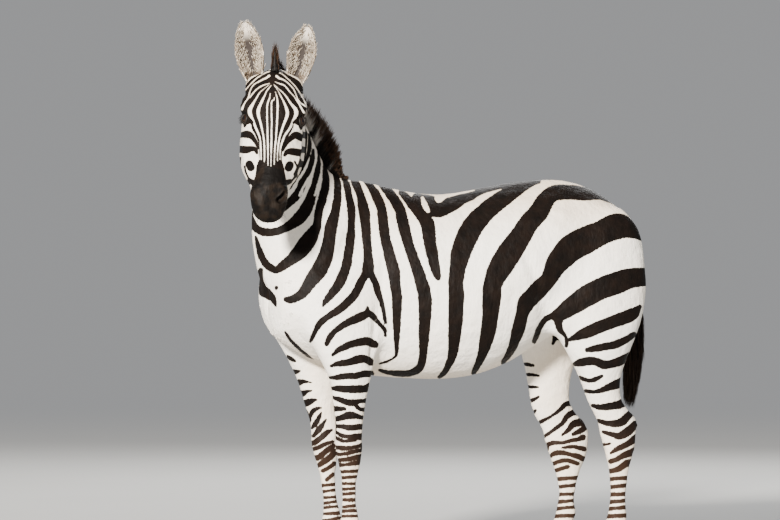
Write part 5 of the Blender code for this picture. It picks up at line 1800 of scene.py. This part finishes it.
# %% whiskers
def whiskers():
    count = 150
    turn = rng.uniform(-1, 1, count)
    low = rng.random(count) < 0.6
    along = np.where(low, rng.uniform(0.455, 0.500, count), rng.uniform(0.500, 0.530, count))
    out = np.where(low, rng.uniform(-0.150, -0.120, count), rng.uniform(-0.100, -0.060, count))
    seeds = on_head(along, out) + np.outer(turn * 0.052, LEFT)
    hair = ground.nearest(seeds)
    way = shaken(hair["normal"] * 0.9 + ALONG * 0.35 - UP * 0.1, 0.15)
    curl = np.tile(-UP * 0.15, (count, 1))
    hair["normal"] = np.tile(LEFT, (count, 1))
    sizes = rng.uniform(0.008, 0.022, count)
    tufts("whiskers", dark_hair, LONG, hair, way, sizes, 0.00045, 0.00045, curl)


whiskers()

# %% [markdown]
# ## Hooves
#
# A hoof is a tapered drum of horn, longer at the toe than at the heel, with its rim on a slope. Rings
# from sole to rim are bridged, and the wall swells very slightly at each season's growth. The horn is
# dark and drawn out in fine streaks. A fringe of short hair hangs over each rim.

# %% hooves
def horn_paint():
    paint = Recipe("hoof_horn", 0.45, 0.22)
    streaks = paint.noise(0.004, 4.0, (1.0, 1.0, 0.08), 0.6)
    growth = paint.noise(0.006, 2.0, (0.15, 0.15, 1.0))
    dust = paint.noise(0.02, 3.0)
    horn = paint.mix(streaks, (0.006, 0.005, 0.0045), (0.032, 0.025, 0.020))
    where = paint.add("ShaderNodeTexCoord").outputs["Object"]
    high = paint.add("ShaderNodeSeparateXYZ", {0: where}).outputs["Z"]
    low = paint.fade(paint.math("MULTIPLY_ADD", dust, 0.02, high), 0.004, 0.034)
    paint.colour(paint.mix(paint.math("MULTIPLY", low, 0.45), horn, (0.12, 0.095, 0.07)))
    paint.rough(paint.math("MULTIPLY_ADD", streaks, 0.3, 0.32))
    relief = paint.math("ADD", paint.math("MULTIPLY", growth, 0.7), paint.math("MULTIPLY", streaks, 0.3))
    paint.bump(relief, 0.0012, 0.6)
    return paint.material


horn = horn_paint()
HOOVES = (
    # name, middle of its rim, from the midline, length, width
    ("fore_left", -0.075, -0.125, 0.093, 0.092), ("fore_right", -0.046, 0.125, 0.093, 0.092),
    ("hind_left", 0.898, -0.122, 0.091, 0.090), ("hind_right", 0.806, 0.122, 0.091, 0.090),
)
RIM_HEIGHT, RIM_SLOPE, TOE_RUN = 0.068, math.tan(math.radians(16)), 0.020
CLEFT_DEEP, CLEFT_WIDE = 0.05, 0.28     # the groove at the heel, as a share of the length, and in radians
HOOF_LEVELS = (0.0, 0.03, 0.12, 0.25, 0.38, 0.50, 0.62, 0.74, 0.86, 0.95, 1.0)
for label, middle, side, length, width in HOOVES:
    low, high = (np.array(corner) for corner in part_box("hoof_" + label))
    bm = bmesh.new()
    loops = []
    for level in HOOF_LEVELS:
        # wider at the sole, ringed by growth, and turned in a little at both ends
        spread = 1 + 0.16 * (1 - level) ** 1.3 + 0.006 * math.sin(level * 34)
        spread = spread - 0.03 * (level > 0.97) - 0.03 * (level < 0.01)
        ring = bmesh.ops.create_circle(bm, segments=56, radius=1.0)["verts"]
        for vert in ring:
            turn = math.atan2(vert.co.y, vert.co.x)
            ahead, across = math.cos(turn), math.sin(turn)
            heel = 0.80 if ahead < 0 else 1.0
            cleft = sum(CLEFT_DEEP * math.exp(-(gap % (2 * math.pi) / CLEFT_WIDE) ** 2)
                        for gap in (turn - math.pi, math.pi - turn))
            x = middle - ahead * heel * length / 2 * spread * (1 - cleft) - TOE_RUN * (1 - level)
            rim = RIM_HEIGHT + (middle - x) * RIM_SLOPE
            vert.co = Vector(WITHERS) + Vector((x, side + across * width / 2 * spread, rim * level))
        loops.append(list({edge for vert in ring for edge in vert.link_edges}))
    for first, second in zip(loops, loops[1:]):
        bmesh.ops.bridge_loops(bm, edges=first + second)
    for loop in (loops[0], loops[-1]):
        bmesh.ops.contextual_create(bm, geom=loop)
    bmesh.ops.recalc_face_normals(bm, faces=bm.faces)
    hoof = to_object(bm, "horn_" + label, horn)
    hoof.data.set_sharp_from_angle(angle=math.radians(45))
    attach(hoof, "root")
    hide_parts("hoof_" + label)
    made = corners(hoof.data)
    print(label, "solid", low.round(3), high.round(3), "made", made.min(0).round(3), made.max(0).round(3))

FRINGE = 1700
fringe_roots = ground.scattered(FRINGE, lambda p: (p[:, 2] > 0.060) & (p[:, 2] < 0.098))
way = along_surface(np.tile(-UP, (FRINGE, 1)), fringe_roots["normal"], rng.uniform(0.12, 0.30, FRINGE))
way, sizes = shaken(way, 0.08), rng.uniform(0.009, 0.016, FRINGE)
tufts("coronet_fringe", coat, SHORT, fringe_roots, way, sizes, 0.0011, 0.0005,
      np.tile(-UP * 0.1, (FRINGE, 1)))
